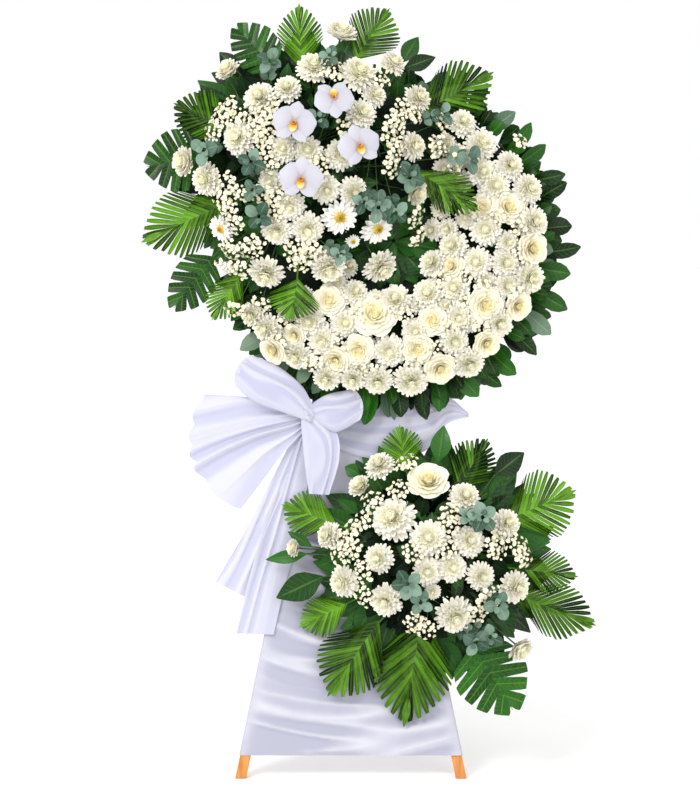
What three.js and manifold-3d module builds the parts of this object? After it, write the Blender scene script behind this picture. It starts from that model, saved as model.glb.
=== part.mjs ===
// Standing funeral wreath: a flower ring with two sprays and a bow on a cloth-covered easel.
// Millimetres, +Z up, the front faces -Y. The origin is the middle of the bounding box, on the floor.
import * as THREE from "three";
import Module from "manifold-3d";

const wasm = await Module();
wasm.setup();

// Driving dimensions. Front parts are placed as right, up along the easel's leaning front,
// and out towards the viewer.
const TILT = THREE.MathUtils.degToRad(8);
const CLEARANCE = 0.4;
const LEG_SECTION = 22;
const FOOT_HALF_SPREAD = 222;
const LEG_LEAN = 0.2055;
const LEG_TOP = 1000;
const REAR_FOOT_BACK = 560;
const CLOTH_BOTTOM = 46;
const CLOTH_TOP = 762;
const CLOTH_THICKNESS = 2.2;
const RING_CENTRE = [84, 1080];
const RING_INNER = 75;
const RING_OUTER = 285;
const RING_FRONT = 60;
const LOWER_CENTRE = [148, 442];
const LEAF_THICKNESS = 1.4;
const STEM_RADIUS = 6;
const STALK_RADIUS = 2.4;
const BUD_RADIUS = 4.2;
const EUCALYPTUS_LEAF = 34;

// Foam mounds of the two sprays, with the dome that their blooms lie on.
const UPPER = {
  x: -176, y: 152, radius: 90, back: 60.4, shoulder: 88, front: 118, low: 104, rise: 80, reach: 265,
};
const LOWER = {
  x: 14, y: 0, radius: 76, back: 10.8, shoulder: 54, front: 80, low: 66, rise: 78, reach: 240,
};

const surface = (color, roughness) => new THREE.MeshStandardMaterial({ color, roughness });
const WOOD = surface(0xd99a55, 0.6);
const CLOTH = surface(0xeeeef5, 0.9);
const SATIN = surface(0xf6f6fa, 0.6);
const TRAY = surface(0x2f4a2c, 0.5);
const FOAM = surface(0x3f6b3a, 0.95);
const DARK_LEAF = surface(0x1f4a22, 0.45);
const PALM = surface(0x4f8a2a, 0.5);
const SPLIT_LEAF = surface(0x2f6a2a, 0.4);
const EUCALYPTUS = surface(0x9db5a6, 0.7);
const PETAL = surface(0xfaf7ec, 0.8);
const ORCHID = surface(0xfdfcf8, 0.6);

const FRONT = new THREE.Vector3(0, 0, 1);
const point = (x, y, z) => new THREE.Vector3(x, y, z);
const mid = (low, high, share) => low + (high - low) * share;
const mix = (a, b, t) => a.clone().lerp(b, t);
const heading = (angle) => point(Math.cos(angle), Math.sin(angle), 0);
const radians = THREE.MathUtils.degToRad;

// Repeatable small numbers, so that blooms and leaves differ a little.
let seed = 20;
function random(low, high) {
  seed = (seed * 16807) % 2147483647;
  return low + (high - low) * (seed / 2147483647);
}

// A closed body from corners and triangles, turned outward if it is inside out.
function solid(points, triangles) {
  let volume = 0;
  for (const [a, b, c] of triangles) {
    volume += points[a].dot(points[b].clone().cross(points[c]));
  }
  const faces = volume < 0 ? triangles.map(([a, b, c]) => [a, c, b]) : triangles;
  return new wasm.Manifold(new wasm.Mesh({
    numProp: 3,
    vertProperties: new Float32Array(points.flatMap((p) => p.toArray())),
    triVerts: new Uint32Array(faces.flat()),
  }));
}

const join = (bodies) => wasm.Manifold.union(bodies);

// A thin body from a sheet of triangles, given thickness along one direction and split alike on both faces.
function blade(points, triangles, thickness, along = FRONT) {
  const size = points.length;
  const thick = typeof thickness === "number" ? () => thickness : thickness;
  const shifted = (side) => points.map((p, i) => p.clone().addScaledVector(along, (side * thick(i)) / 2));
  const faces = [];
  const edges = new Map();
  for (const [a, b, c] of triangles) {
    faces.push([a, b, c], [size + a, size + c, size + b]);
    for (const [from, to] of [[a, b], [b, c], [c, a]]) {
      edges.set(`${from} ${to}`, [from, to]);
    }
  }
  for (const [from, to] of edges.values()) {
    if (!edges.has(`${to} ${from}`)) {
      faces.push([to, from, size + from], [to, size + from, size + to]);
    }
  }
  return solid([...shifted(1), ...shifted(-1)], faces);
}

// A thin body from rows of points.
function sheet(rows, thickness, along = FRONT) {
  const columns = rows[0].length;
  const triangles = [];
  for (let r = 0; r + 1 < rows.length; r++) {
    for (let c = 0; c + 1 < columns; c++) {
      const a = r * columns + c;
      triangles.push([a, a + 1, a + columns + 1], [a, a + columns + 1, a + columns]);
    }
  }
  return blade(rows.flat(), triangles, thickness, along);
}

// Triangles over a convex section.
const fan = (corners) => Array.from({ length: corners - 2 }, (_, i) => [0, i + 1, i + 2]);

// A body through sections with the same number of corners, closed by flat ends.
function loft(sections, cap = fan(sections[0].length)) {
  const corners = sections[0].length;
  const last = (sections.length - 1) * corners;
  const faces = cap.flatMap(([a, b, c]) => [[a, c, b], [last + a, last + b, last + c]]);
  for (let s = 0; s < last; s += corners) {
    for (let c = 0; c < corners; c++) {
      const a = s + c;
      const b = s + ((c + 1) % corners);
      faces.push([a, b, b + corners], [a, b + corners, a + corners]);
    }
  }
  return solid(sections.flat(), faces);
}

// A stem along a line of points.
function tube(path, radius, sides = 3, turn = 0) {
  const overall = path[path.length - 1].clone().sub(path[0]).normalize();
  const hint = Math.abs(overall.z) > 0.9 ? point(1, 0, 0) : FRONT;
  return loft(path.map((p, i) => {
    const before = path[Math.max(i - 1, 0)];
    const after = path[Math.min(i + 1, path.length - 1)];
    const along = after.clone().sub(before).normalize();
    const across = hint.clone().cross(along).normalize();
    const up = along.clone().cross(across);
    return Array.from({ length: sides }, (_, k) => {
      const angle = turn + (k * 2 * Math.PI) / sides;
      const aside = p.clone().addScaledVector(across, radius * Math.cos(angle));
      return aside.addScaledVector(up, radius * Math.sin(angle));
    });
  }));
}

// A body turned about the outward direction from a closed profile of radius and height.
function turnedBody(profile, steps, x = 0, y = 0) {
  const points = [];
  const faces = [];
  const ring = profile.length;
  for (let s = 0; s < steps; s++) {
    const out = heading((s * 2 * Math.PI) / steps);
    for (const [radius, height] of profile) {
      points.push(point(x + out.x * radius, y + out.y * radius, height));
    }
    for (let k = 0; k < ring; k++) {
      const a = s * ring + k;
      const b = s * ring + ((k + 1) % ring);
      const c = ((s + 1) % steps) * ring + ((k + 1) % ring);
      const d = ((s + 1) % steps) * ring + k;
      faces.push([a, d, c], [a, c, b]);
    }
  }
  return solid(points, faces);
}

// A mound turned about the outward direction, closed at its axis.
function mound({ x, y, radius, back, shoulder, front }, steps) {
  const profile = [
    [radius, back],
    [radius, shoulder],
    [radius * 0.84, mid(shoulder, front, 0.66)],
    [radius * 0.56, front],
  ];
  const points = [point(x, y, back), point(x, y, front)];
  const faces = [];
  const ring = profile.length;
  for (let s = 0; s < steps; s++) {
    const out = heading((s * 2 * Math.PI) / steps);
    for (const [r, height] of profile) {
      points.push(point(x + out.x * r, y + out.y * r, height));
    }
    const here = 2 + s * ring;
    const next = 2 + ((s + 1) % steps) * ring;
    faces.push([0, next, here]);
    for (let k = 0; k + 1 < ring; k++) {
      faces.push([here + k, next + k, next + k + 1], [here + k, next + k + 1, here + k + 1]);
    }
    faces.push([1, here + ring - 1, next + ring - 1]);
  }
  return solid(points, faces);
}

// A single leaf from its stalk end to its tip, folded a little along the middle.
function leaf(base, tip, width, { arch = 6, fold = 4 } = {}) {
  const side = FRONT.clone().cross(tip.clone().sub(base)).normalize();
  const at = (share, half, lift) => {
    const aside = mix(base, tip, share).addScaledVector(side, half * width);
    return aside.addScaledVector(FRONT, lift);
  };
  const rim = [base.clone(), at(0.42, -0.5, arch), tip.clone(), at(0.42, 0.5, arch)];
  const points = [...rim, at(0.5, 0, arch - fold)];
  return blade(points, [[0, 1, 4], [1, 2, 4], [2, 3, 4], [3, 0, 4]], LEAF_THICKNESS);
}

// The way a spray's greenery leans back with distance from its mound.
function leaning(hub, level, droop) {
  return (p, lift = 0) => {
    const far = Math.hypot(p.x - hub.x, p.y - hub.y) / 300;
    return point(p.x, p.y, level - droop * far * far + lift);
  };
}

// Two corners on either side of a stalk, inside its mound and at the mound's wall.
function stalkPairs(hub, base, level) {
  const away = point(base[0] - hub.x, base[1] - hub.y, 0).normalize();
  const side = FRONT.clone().cross(away).multiplyScalar(2.6);
  const pair = (distance) => {
    const p = point(hub.x, hub.y, level).addScaledVector(away, distance);
    return [p.clone().add(side), p.clone().sub(side)];
  };
  return { inside: pair(hub.radius - 20), wall: pair(hub.radius + 8), side };
}

// A sheet that starts as a flat stalk in its mound and runs on as a rib with parted blades on both sides.
function frondSheet({ hub, base, tip, level, droop }, segments, ribShare, bladesAt) {
  const lean = leaning(hub, level, droop);
  const { inside, wall, side } = stalkPairs(hub, base, level);
  const start = point(base[0], base[1], 0);
  const end = point(tip[0], tip[1], 0);
  const forward = end.clone().sub(start).normalize();
  const across = FRONT.clone().cross(forward);
  const points = [];
  const heights = [];
  const triangles = [];
  const add = (p, height) => heights.push(height) && points.push(p) - 1;
  const ribs = [inside, wall].map((pair) => pair.map((p) => add(p, 4)));
  ribs.push([1, -1].map((hand) => add(lean(start.clone().addScaledVector(side, hand)), 3.6)));
  for (let i = 1; i <= segments; i++) {
    const centre = mix(start, end, (ribShare * i) / segments);
    ribs.push([1.5, -1.5].map((half) => add(lean(centre.clone().addScaledVector(across, half)), 2.6)));
  }
  for (let i = 0; i + 1 < ribs.length; i++) {
    const [left, right] = ribs[i];
    const [nextLeft, nextRight] = ribs[i + 1];
    triangles.push([left, right, nextRight], [left, nextRight, nextLeft]);
  }
  triangles.push([...ribs[ribs.length - 1], add(lean(end), LEAF_THICKNESS)]);
  [1, -1].forEach((hand, which) => {
    for (let i = 0; i < segments; i++) {
      const near = ribs[i + 2][which];
      const far = ribs[i + 3][which];
      const aim = (degrees) => {
        const angle = radians(degrees);
        const along = forward.clone().multiplyScalar(Math.cos(angle));
        return along.addScaledVector(across, hand * Math.sin(angle));
      };
      const from = (index, direction, reach, lift) => {
        const flat = points[index].clone().setZ(0).addScaledVector(direction, reach);
        return add(lean(flat, lift), LEAF_THICKNESS);
      };
      const faces = bladesAt({ near, far, share: i / (segments - 1), aim, from });
      triangles.push(...faces.map(([a, b, c]) => (hand > 0 ? [a, b, c] : [a, c, b])));
    }
  });
  return blade(points, triangles, (i) => heights[i]);
}

// Feather palm frond: pointed leaflets, parted down to the rib.
function palmFrond(frond, pairs = 8) {
  return frondSheet(frond, pairs, 0.82, ({ near, far, share, aim, from }) => {
    const length = frond.half * mid(1.04, 0.7, share) * (1 + 0.4 * share * (1 - share));
    return [[near, far, from(far, aim(mid(64, 14, share)), length, 2 + random(-1, 1))]];
  });
}

// Split leaf: broad lobes with slits that stop short of the rib.
function splitLeaf(frond, lobes = 5) {
  return frondSheet(frond, lobes, 0.9, ({ near, far, share, aim, from }) => {
    const out = aim(mid(84, 30, share));
    const length = frond.half * mid(0.9, 0.55, share) * (1.0 + 0.9 * share * (1 - share));
    const low = from(near, out, length * 0.72, 3);
    const high = from(far, out, length * 0.86, 3);
    const end = from(far, out, length * 1.06, 0);
    return [[near, far, high], [near, high, low], [low, high, end]];
  });
}

// The room that a stalk or a stem needs in foam.
function stalkRoom(hub, base, level) {
  const away = point(base[0] - hub.x, base[1] - hub.y, 0).normalize();
  const at = (distance) => point(hub.x, hub.y, level).addScaledVector(away, distance);
  return tube([at(hub.radius - 21), at(hub.radius + 4)], 3.1 * Math.SQRT2, 4, Math.PI / 4);
}

// Flower kinds. Outer ring of petals: tip and notch radius, tip and notch height, as shares of the width.
// Each inner ring has one corner a petal: radius and height.
const BLOOM_KINDS = {
  mum: { petals: 7, outer: [0.5, 0.35, 0.1, 0.13], inner: [[0.3, 0.26]], eye: 0.29 },
  daisy: { petals: 8, outer: [0.5, 0.26, 0.13, 0.1], inner: [[0.16, 0.16]], eye: 0.22 },
  rose: { petals: 6, outer: [0.5, 0.42, 0.24, 0.26], inner: [[0.34, 0.3], [0.3, 0.42]], eye: 0.36 },
  bell: { petals: 6, outer: [0.5, 0.38, 0.32, 0.36], inner: [[0.2, 0.25]], eye: 0.3 },
};

// A flower head that faces +Z from a calyx at the origin, on a three-sided stalk to a foot
// in the head's own frame.
function flowerHead(kind, across, foot) {
  const { petals, outer, inner, eye } = BLOOM_KINDS[kind];
  const [tip, notch, tipRise, notchRise] = outer;
  const along = foot.clone().normalize();
  const spoke = (k, size) => heading((k * 2 * Math.PI) / size);
  const flat = (p) => p.clone().addScaledVector(along, -p.dot(along)).setLength(STALK_RADIUS);
  const points = [0, 1, 2].map((k) => flat(spoke(k, 3)).add(foot));
  points.push(...[0, 1, 2].map((k) => spoke(k, 3).multiplyScalar(4)));
  const count = 2 * petals;
  for (let k = 0; k < count; k++) {
    const isTip = k % 2 === 0;
    const radius = across * (isTip ? tip : notch);
    points.push(spoke(k, count).multiplyScalar(radius).setZ(across * (isTip ? tipRise : notchRise)));
  }
  for (const [radius, rise] of inner) {
    for (let k = 0; k < petals; k++) {
      points.push(spoke(2 * k + 1, count).multiplyScalar(across * radius).setZ(across * rise));
    }
  }
  points.push(point(0, 0, across * eye));
  const calyx = (k) => 3 + (Math.round((k * 3) / count) % 3);
  const edge = (k) => 6 + (k % count);
  const upper = (ring, k) => 6 + count + ring * petals + (k % petals);
  const faces = [[0, 2, 1]];
  for (let k = 0; k < 3; k++) {
    const next = (k + 1) % 3;
    faces.push([k, next, 3 + next], [k, 3 + next, 3 + k]);
  }
  for (let k = 0; k < count; k++) {
    faces.push([calyx(k), edge(k + 1), edge(k)]);
    if (calyx(k) !== calyx(k + 1)) {
      faces.push([calyx(k), calyx(k + 1), edge(k + 1)]);
    }
  }
  for (let k = 0; k < petals; k++) {
    const here = upper(0, k);
    const after = upper(0, k + 1);
    faces.push([edge(2 * k), edge(2 * k + 1), here], [edge(2 * k + 1), edge(2 * k + 2), here]);
    faces.push([edge(2 * k + 2), after, here]);
    for (let ring = 0; ring + 1 < inner.length; ring++) {
      faces.push([upper(ring, k), upper(ring, k + 1), upper(ring + 1, k + 1)]);
      faces.push([upper(ring, k), upper(ring + 1, k + 1), upper(ring + 1, k)]);
    }
    faces.push([upper(inner.length - 1, k), upper(inner.length - 1, k + 1), points.length - 1]);
  }
  return solid(points, faces);
}

// The frame of a body that faces some way: turned from +Z and moved into place.
function frameOf(at, facing, spin) {
  const turn = new THREE.Quaternion().setFromUnitVectors(FRONT, facing);
  turn.multiply(new THREE.Quaternion().setFromAxisAngle(FRONT, spin));
  return new THREE.Matrix4().compose(at, turn, point(1, 1, 1));
}
const placed = (body, at, facing, spin) => body.transform(frameOf(at, facing, spin).elements);

// A bloom in its place, with its stalk run to a foot.
function bloomBody({ kind, across, at, facing, spin }, foot) {
  const frame = frameOf(at, facing, spin);
  const ownFoot = foot.clone().applyMatrix4(frame.clone().invert());
  return flowerHead(kind, across, ownFoot).transform(frame.elements);
}

// Where a bloom of a spray sits on the dome over its mound, and which way it faces.
function onDome(hub, x, y, lift = 0) {
  const away = point(x - hub.x, y - hub.y, 0);
  const share = Math.min(away.length() / hub.reach, 1.2);
  const height = hub.low + hub.rise * Math.max(1 - share * share, -0.05) + lift;
  const lean = radians(58) * Math.min(share, 1);
  const facing = FRONT.clone().multiplyScalar(Math.cos(lean));
  facing.addScaledVector(away.normalize(), Math.sin(lean));
  return { at: point(x, y, height), facing };
}

// Where a bloom of the ring sits on its rounded front.
function onRing(x, y) {
  const away = point(x, y, 0);
  const share = THREE.MathUtils.clamp((away.length() - 190) / 120, -1, 1);
  const lean = radians(46) * share;
  const facing = FRONT.clone().multiplyScalar(Math.cos(lean));
  facing.addScaledVector(away.normalize(), Math.sin(lean));
  return { at: point(x, y, RING_FRONT + 24 + 14 * (1 - share * share)), facing };
}

// Places a list of [x, y, width, kind] with a seating rule.
function bloomList(list, seat) {
  return list.map(([x, y, across, kind = "mum"]) => ({ ...seat(x, y), across, kind, spin: random(0, 1) }));
}

// Where two blooms of different stems would touch, both are made a little smaller.
const bloomMiddle = ({ at, facing, across }) => at.clone().addScaledVector(facing, 0.16 * across);
function fitApart(blooms) {
  for (const bloom of blooms) {
    for (const other of blooms) {
      const apart = bloomMiddle(bloom).distanceTo(bloomMiddle(other));
      const reach = (bloom.across + other.across) / 2 + CLEARANCE;
      if (other !== bloom && apart < reach) {
        bloom.across *= apart / reach;
        other.across *= apart / reach;
      }
    }
  }
}

// Blooms that stand close are cut midway, so that their petals press against each other.
function pressed(bloom, foot, neighbours) {
  let body = bloomBody(bloom, foot);
  let isCut = false;
  for (const other of neighbours) {
    const apart = bloomMiddle(bloom).sub(bloomMiddle(other));
    if (other === bloom || apart.length() > (bloom.across + other.across) / 2) {
      continue;
    }
    const share = other.across / (bloom.across + other.across);
    const normal = apart.clone().setZ(0).normalize();
    const plane = bloomMiddle(other).addScaledVector(apart, share).dot(normal) + CLEARANCE / 2;
    body = body.trimByPlane(normal.toArray(), plane);
    isCut = isCut || foot.dot(normal) < plane + STALK_RADIUS;
  }
  return isCut ? join([body, tube([foot, bloomMiddle(bloom)], STALK_RADIUS)]) : body;
}

// A bud that swells from a thin stalk.
function bud(from, to, radius) {
  const along = to.clone().sub(from).normalize();
  const across = point(along.y, -along.x, 0.2).cross(along).normalize();
  const up = along.clone().cross(across);
  const widest = to.clone().addScaledVector(along, -1.3 * radius);
  const ring = [0, 1, 2].map((k) => {
    const angle = (k * 2 * Math.PI) / 3;
    const aside = widest.clone().addScaledVector(across, radius * Math.cos(angle));
    return aside.addScaledVector(up, radius * Math.sin(angle));
  });
  const faces = [0, 1, 2].flatMap((k) => {
    const next = (k + 1) % 3;
    return [[0, 1 + next, 1 + k], [1 + k, 1 + next, 4]];
  });
  return solid([from.clone(), ...ring, to.clone()], faces);
}

// A head of small buds on a branch.
function budSpray(root, { at, facing }, buds = 4) {
  const branch = at.clone().sub(root).normalize();
  const fork = at.clone().addScaledVector(branch, -3);
  const bodies = [tube([root, at], 1.8)];
  const side = point(1, 0, 0).cross(facing).normalize();
  const up = facing.clone().cross(side);
  for (let k = 0; k < buds; k++) {
    const spread = 18 * Math.sqrt((k + 0.8) / buds);
    const tip = at.clone().addScaledVector(facing, random(13, 19));
    tip.addScaledVector(side, spread * Math.cos(2.4 * k)).addScaledVector(up, spread * Math.sin(2.4 * k));
    bodies.push(bud(fork, tip, BUD_RADIUS));
  }
  return join(bodies);
}

// A stem that stands in a mound, with its knuckle above the foam.
function mainStem(hub, degrees, distance) {
  const out = heading(radians(degrees)).multiplyScalar(distance);
  const knuckle = point(hub.x + out.x, hub.y + out.y, hub.front + 12);
  const foot = point(hub.x + out.x * 0.9, hub.y + out.y * 0.9, hub.front - 34);
  const line = [foot, knuckle.clone().addScaledVector(FRONT, 3)];
  const deeper = [foot.clone().addScaledVector(FRONT, -0.6), line[1]];
  return { knuckle, body: tube(line, STEM_RADIUS, 5), room: tube(deeper, STEM_RADIUS + 0.6, 5) };
}

// A bunch of blooms and bud sprays on one stem.
function bunch(stem, blooms, buds) {
  const heads = blooms.map((bloom) => bloomBody(bloom, stem.knuckle));
  return join([stem.body, ...heads, ...buds.map((seat) => budSpray(stem.knuckle, seat))]);
}

// A thin curved bed on the ring that carries the blooms of one stretch.
function ringBed(fromDegrees, toDegrees) {
  const rows = [];
  const steps = 5;
  for (let s = 0; s <= steps; s++) {
    const out = heading(radians(mid(fromDegrees, toDegrees, s / steps)));
    const level = RING_FRONT + CLEARANCE + 2;
    rows.push([106, 276].map((radius) => out.clone().multiplyScalar(radius).setZ(level)));
  }
  return sheet(rows, 4);
}

// The blooms of one stretch of the ring, on short stalks from their bed.
function ringBunch([from, to], blooms, neighbours) {
  const bodies = [ringBed(from, to)];
  for (const bloom of blooms) {
    const radius = THREE.MathUtils.clamp(Math.hypot(bloom.at.x, bloom.at.y), 110, 272);
    const middle = (from + to) / 2;
    const offset = THREE.MathUtils.radToDeg(Math.atan2(bloom.at.y, bloom.at.x)) - middle;
    const wrapped = ((offset + 540) % 360) - 180;
    const half = (to - from) / 2 - 2;
    const angle = radians(middle + THREE.MathUtils.clamp(wrapped, -half, half));
    const foot = heading(angle).multiplyScalar(radius).setZ(RING_FRONT + CLEARANCE + 1);
    bodies.push(pressed(bloom, foot, neighbours));
  }
  return join(bodies);
}

// Leaves on a twig bent round the ring's rim, pointing out in two layers.
function rimTwig(fromDegrees, toDegrees, spacing) {
  const path = [];
  for (let s = 0; s <= 6; s++) {
    const degrees = mid(fromDegrees + 1, toDegrees - 1, s / 6);
    path.push(heading(radians(degrees)).multiplyScalar(RING_OUTER + 5).setZ(24));
  }
  const bodies = [tube(path, 3.4)];
  let layer = 0;
  for (let degrees = fromDegrees + spacing / 2; degrees < toDegrees; degrees += spacing) {
    const raised = layer % 2 === 0;
    const swing = raised ? 9 : -7;
    const foot = 24 + (raised ? 1.2 : -1.2);
    const base = heading(radians(degrees)).multiplyScalar(RING_OUTER + 3.4).setZ(foot);
    const tip = heading(radians(degrees + swing * 0.5)).multiplyScalar(RING_OUTER + random(66, 76));
    bodies.push(leaf(base, tip.setZ(raised ? 30 : 12), 46, { arch: raised ? 6 : -5, fold: 3 }));
    layer += 1;
  }
  return join(bodies);
}

// Leaves or petals round a ring of corners, all in one sheet.
// Each is [direction in degrees, length, width].
// The inner corners are a hole's edge when open, and one middle point when not.
function whorl(petals, core, { open = 0, inward = 1, lift = 3, level = 0 } = {}) {
  const count = petals.length;
  const at = (degrees, radius, height) => (
    heading(radians(degrees)).multiplyScalar(radius).setZ(level + height)
  );
  const between = (k) => {
    const before = petals[(k + count - 1) % count][0] - (k % count === 0 ? 360 : 0);
    return (before + petals[k % count][0]) / 2;
  };
  const points = petals.map((_, k) => at(between(k), core, 0));
  const triangles = [];
  const inner = points.length;
  if (open) {
    points.push(...petals.map((_, k) => at(between(k), open, 0)));
  } else {
    points.push(at(0, 0, 0));
  }
  petals.forEach(([degrees, length, width, tilt = 0], k) => {
    const next = (k + 1) % count;
    const aim = heading(radians(degrees + tilt));
    const side = FRONT.clone().cross(aim);
    const start = heading(radians(degrees)).multiplyScalar(core);
    const blob = (share, half, height) => start.clone().addScaledVector(aim, inward * length * share)
      .addScaledVector(side, half * width).setZ(level + height);
    const first = points.length;
    points.push(blob(0.45, -0.5, lift), blob(1, 0, 0), blob(0.45, 0.5, lift));
    const faces = [[k, first, first + 2], [k, first + 2, next], [first, first + 1, first + 2]];
    if (open) {
      faces.push([inner + k, k, next], [inner + k, next, inner + next]);
    } else {
      faces.push([inner, k, next]);
    }
    triangles.push(...faces);
  });
  return { points, triangles };
}

// Leaves that fill the middle of the ring, pointing in from a twig in two layers.
function middleLeaves() {
  const layer = (turn, level, lift) => {
    const leaves = [0, 1, 2, 3, 4, 5, 6].map((k) => [turn + (k * 360) / 7, 92, 52]);
    const shape = { open: 102, inward: -1, lift, level: RING_FRONT + level };
    const { points, triangles } = whorl(leaves, 97, shape);
    return blade(points, triangles, 2.8);
  };
  return join([layer(14, 1.9, -1), layer(14 + 180 / 7, 4.4, 3)]);
}

// A hoop round a mound with broad leaves, and with longer-stalked leaves that reach past the blooms.
function leafCollar(hub, leafCount, turn, longLeaves) {
  const level = hub.shoulder + 3;
  const rim = hub.radius + 9;
  const aim = (k) => turn + (k * 360) / leafCount;
  const leaves = Array.from({ length: leafCount }, (_, k) => [aim(k), random(52, 64), 48]);
  const { points, triangles } = whorl(leaves, rim, { open: hub.radius + 2.6, lift: 3, level });
  const centre = point(hub.x, hub.y, 0);
  const bodies = [blade(points.map((p) => p.add(centre)), triangles, LEAF_THICKNESS * 1.6)];
  bodies.push(...longLeaves.map((one) => stalkedLeaf(hub, level, rim - 4, one)));
  return join(bodies);
}

// A leaf at the end of a long flat stalk, in one sheet.
function stalkedLeaf(hub, level, from, [base, tip, width]) {
  const start = point(base[0], base[1], level - 4);
  const end = point(tip[0], tip[1], level - 10);
  const away = point(base[0] - hub.x, base[1] - hub.y, 0).normalize();
  const root = point(hub.x, hub.y, level).addScaledVector(away, from);
  const stalkSide = FRONT.clone().cross(away).multiplyScalar(2);
  const leafSide = FRONT.clone().cross(end.clone().sub(start).setZ(0).normalize());
  const broad = mix(start, end, 0.42).addScaledVector(FRONT, 3);
  const pair = (p, side) => [p.clone().add(side), p.clone().sub(side)];
  const points = [
    ...pair(root, stalkSide), ...pair(start, leafSide.clone().multiplyScalar(2)),
    ...pair(broad, leafSide.clone().multiplyScalar(width / 2)), end,
  ];
  return blade(points, [[0, 1, 3], [0, 3, 2], [2, 3, 5], [2, 5, 4], [4, 5, 6]], LEAF_THICKNESS * 1.4);
}

// Round-leaved eucalyptus: one stem with side stems, each ending in a whorl of leaves.
function eucalyptus(hub, degrees, distance, [crownOut, crownLift], sprigs) {
  const stem = mainStem(hub, degrees, distance);
  const out = heading(radians(degrees)).multiplyScalar(crownOut);
  const crown = onDome(hub, hub.x + out.x, hub.y + out.y, crownLift).at;
  const bodies = [stem.body, tube([stem.knuckle, crown], 3, 4)];
  for (const [x, y, leaves, lift = 38] of sprigs) {
    const { at, facing } = onDome(hub, x, y, lift);
    const width = EUCALYPTUS_LEAF * 0.84;
    const aims = Array.from({ length: leaves }, (_, k) => (k * 360) / leaves);
    const petals = aims.map((aim) => [aim, EUCALYPTUS_LEAF, width]);
    const { points, triangles } = whorl(petals, 6, { lift: 2 });
    const sprig = blade(points, triangles, LEAF_THICKNESS);
    const flat = FRONT.clone().add(facing).normalize();
    bodies.push(tube([crown, at], 2), placed(sprig, at, flat, x));
  }
  return { body: join(bodies), room: stem.room };
}

// Moth orchid that faces +Z: three sepals and two broad petals in one sheet, and a lip.
function orchidFlower(across) {
  const tepals = [[14, 0.4, 0.5], [90, 0.4, 0.36], [166, 0.4, 0.5], [238, 0.4, 0.28], [302, 0.4, 0.28]];
  const sized = tepals.map(([aim, length, width]) => [aim, across * length, across * width]);
  const { points, triangles } = whorl(sized, across * 0.1);
  const lip = bud(point(0, 2, -1), point(0, -across * 0.17, across * 0.16), 6);
  return join([blade(points, triangles, 2.4), lip]);
}

// Orchids on one arching stem.
function orchidSpray(hub, degrees, distance, blooms) {
  const stem = mainStem(hub, degrees, distance);
  const crown = onDome(hub, stem.knuckle.x, stem.knuckle.y, 16).at;
  const bodies = [stem.body, tube([stem.knuckle, crown], 3.2, 4)];
  for (const [x, y, across, spin] of blooms) {
    const { at, facing } = onDome(hub, x, y, 54);
    const flat = FRONT.clone().multiplyScalar(1.4).add(facing).normalize();
    bodies.push(tube([crown, at], 2.2), placed(orchidFlower(across), at, flat, spin));
  }
  return { body: join(bodies), room: stem.room };
}

// Easel timber. A leg is cut level with the floor, and leans with the front.
const legCentre = (hand, up) => hand * (FOOT_HALF_SPREAD - LEG_LEAN * up);
const floorAt = (out) => -out * Math.tan(TILT);
function frontLeg(hand) {
  const half = LEG_SECTION / 2;
  const corners = [[-half, 0], [half, 0], [half, -LEG_SECTION], [-half, -LEG_SECTION]];
  const section = (up) => corners.map(([x, out]) => {
    const height = up === 0 ? floorAt(out) : up;
    return point(legCentre(hand, height) + x, height, out);
  });
  return loft([section(0), section(LEG_TOP)]);
}

function block(low, high) {
  const corners = [[low[0], low[2]], [high[0], low[2]], [high[0], high[2]], [low[0], high[2]]];
  const section = (y) => corners.map(([x, z]) => point(x, y, z));
  return loft([section(low[1]), section(high[1])]);
}

// A rail between the legs, its ends cut to their slope.
function legRail(low, high) {
  const reach = (up) => FOOT_HALF_SPREAD - LEG_LEAN * up - LEG_SECTION / 2 - CLEARANCE;
  const corners = [[-1, -2], [1, -2], [1, -LEG_SECTION + 2], [-1, -LEG_SECTION + 2]];
  const section = (up) => corners.map(([hand, out]) => {
    return point(hand * reach(up), up, out);
  });
  return loft([section(low), section(high)]);
}

// Cloth wrapped over the fronts of both legs and tucked in behind them.
function standCloth() {
  const section = (up) => {
    const inner = FOOT_HALF_SPREAD - LEG_LEAN * up + LEG_SECTION / 2 + CLEARANCE;
    const outer = inner + CLOTH_THICKNESS;
    const front = CLEARANCE;
    const back = -LEG_SECTION - CLEARANCE;
    const tuck = inner - 16;
    const innerLeft = [[-tuck, back], [-inner, back], [-inner, front]];
    const innerRight = [[inner, front], [inner, back], [tuck, back]];
    const inside = [...innerLeft, ...innerRight];
    const outerRight = [[tuck, back], [outer, back], [outer, front]];
    const outerLeft = [[-outer, front], [-outer, back], [-tuck, back]];
    const outside = [...outerRight, ...outerLeft];
    const shift = (z) => (z > 0 ? z + CLOTH_THICKNESS : z - CLOTH_THICKNESS);
    return [...inside, ...outside.map(([x, z]) => [x, shift(z)])].map(([x, z]) => point(x, up, z));
  };
  const strip = [];
  for (let k = 0; k < 5; k += 1) {
    strip.push([k, 11 - k, 10 - k], [k, 10 - k, k + 1]);
  }
  const cap = strip.map(([a, b, c]) => [a, c, b]);
  return loft([section(CLOTH_BOTTOM), section(CLOTH_TOP)], cap);
}

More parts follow.
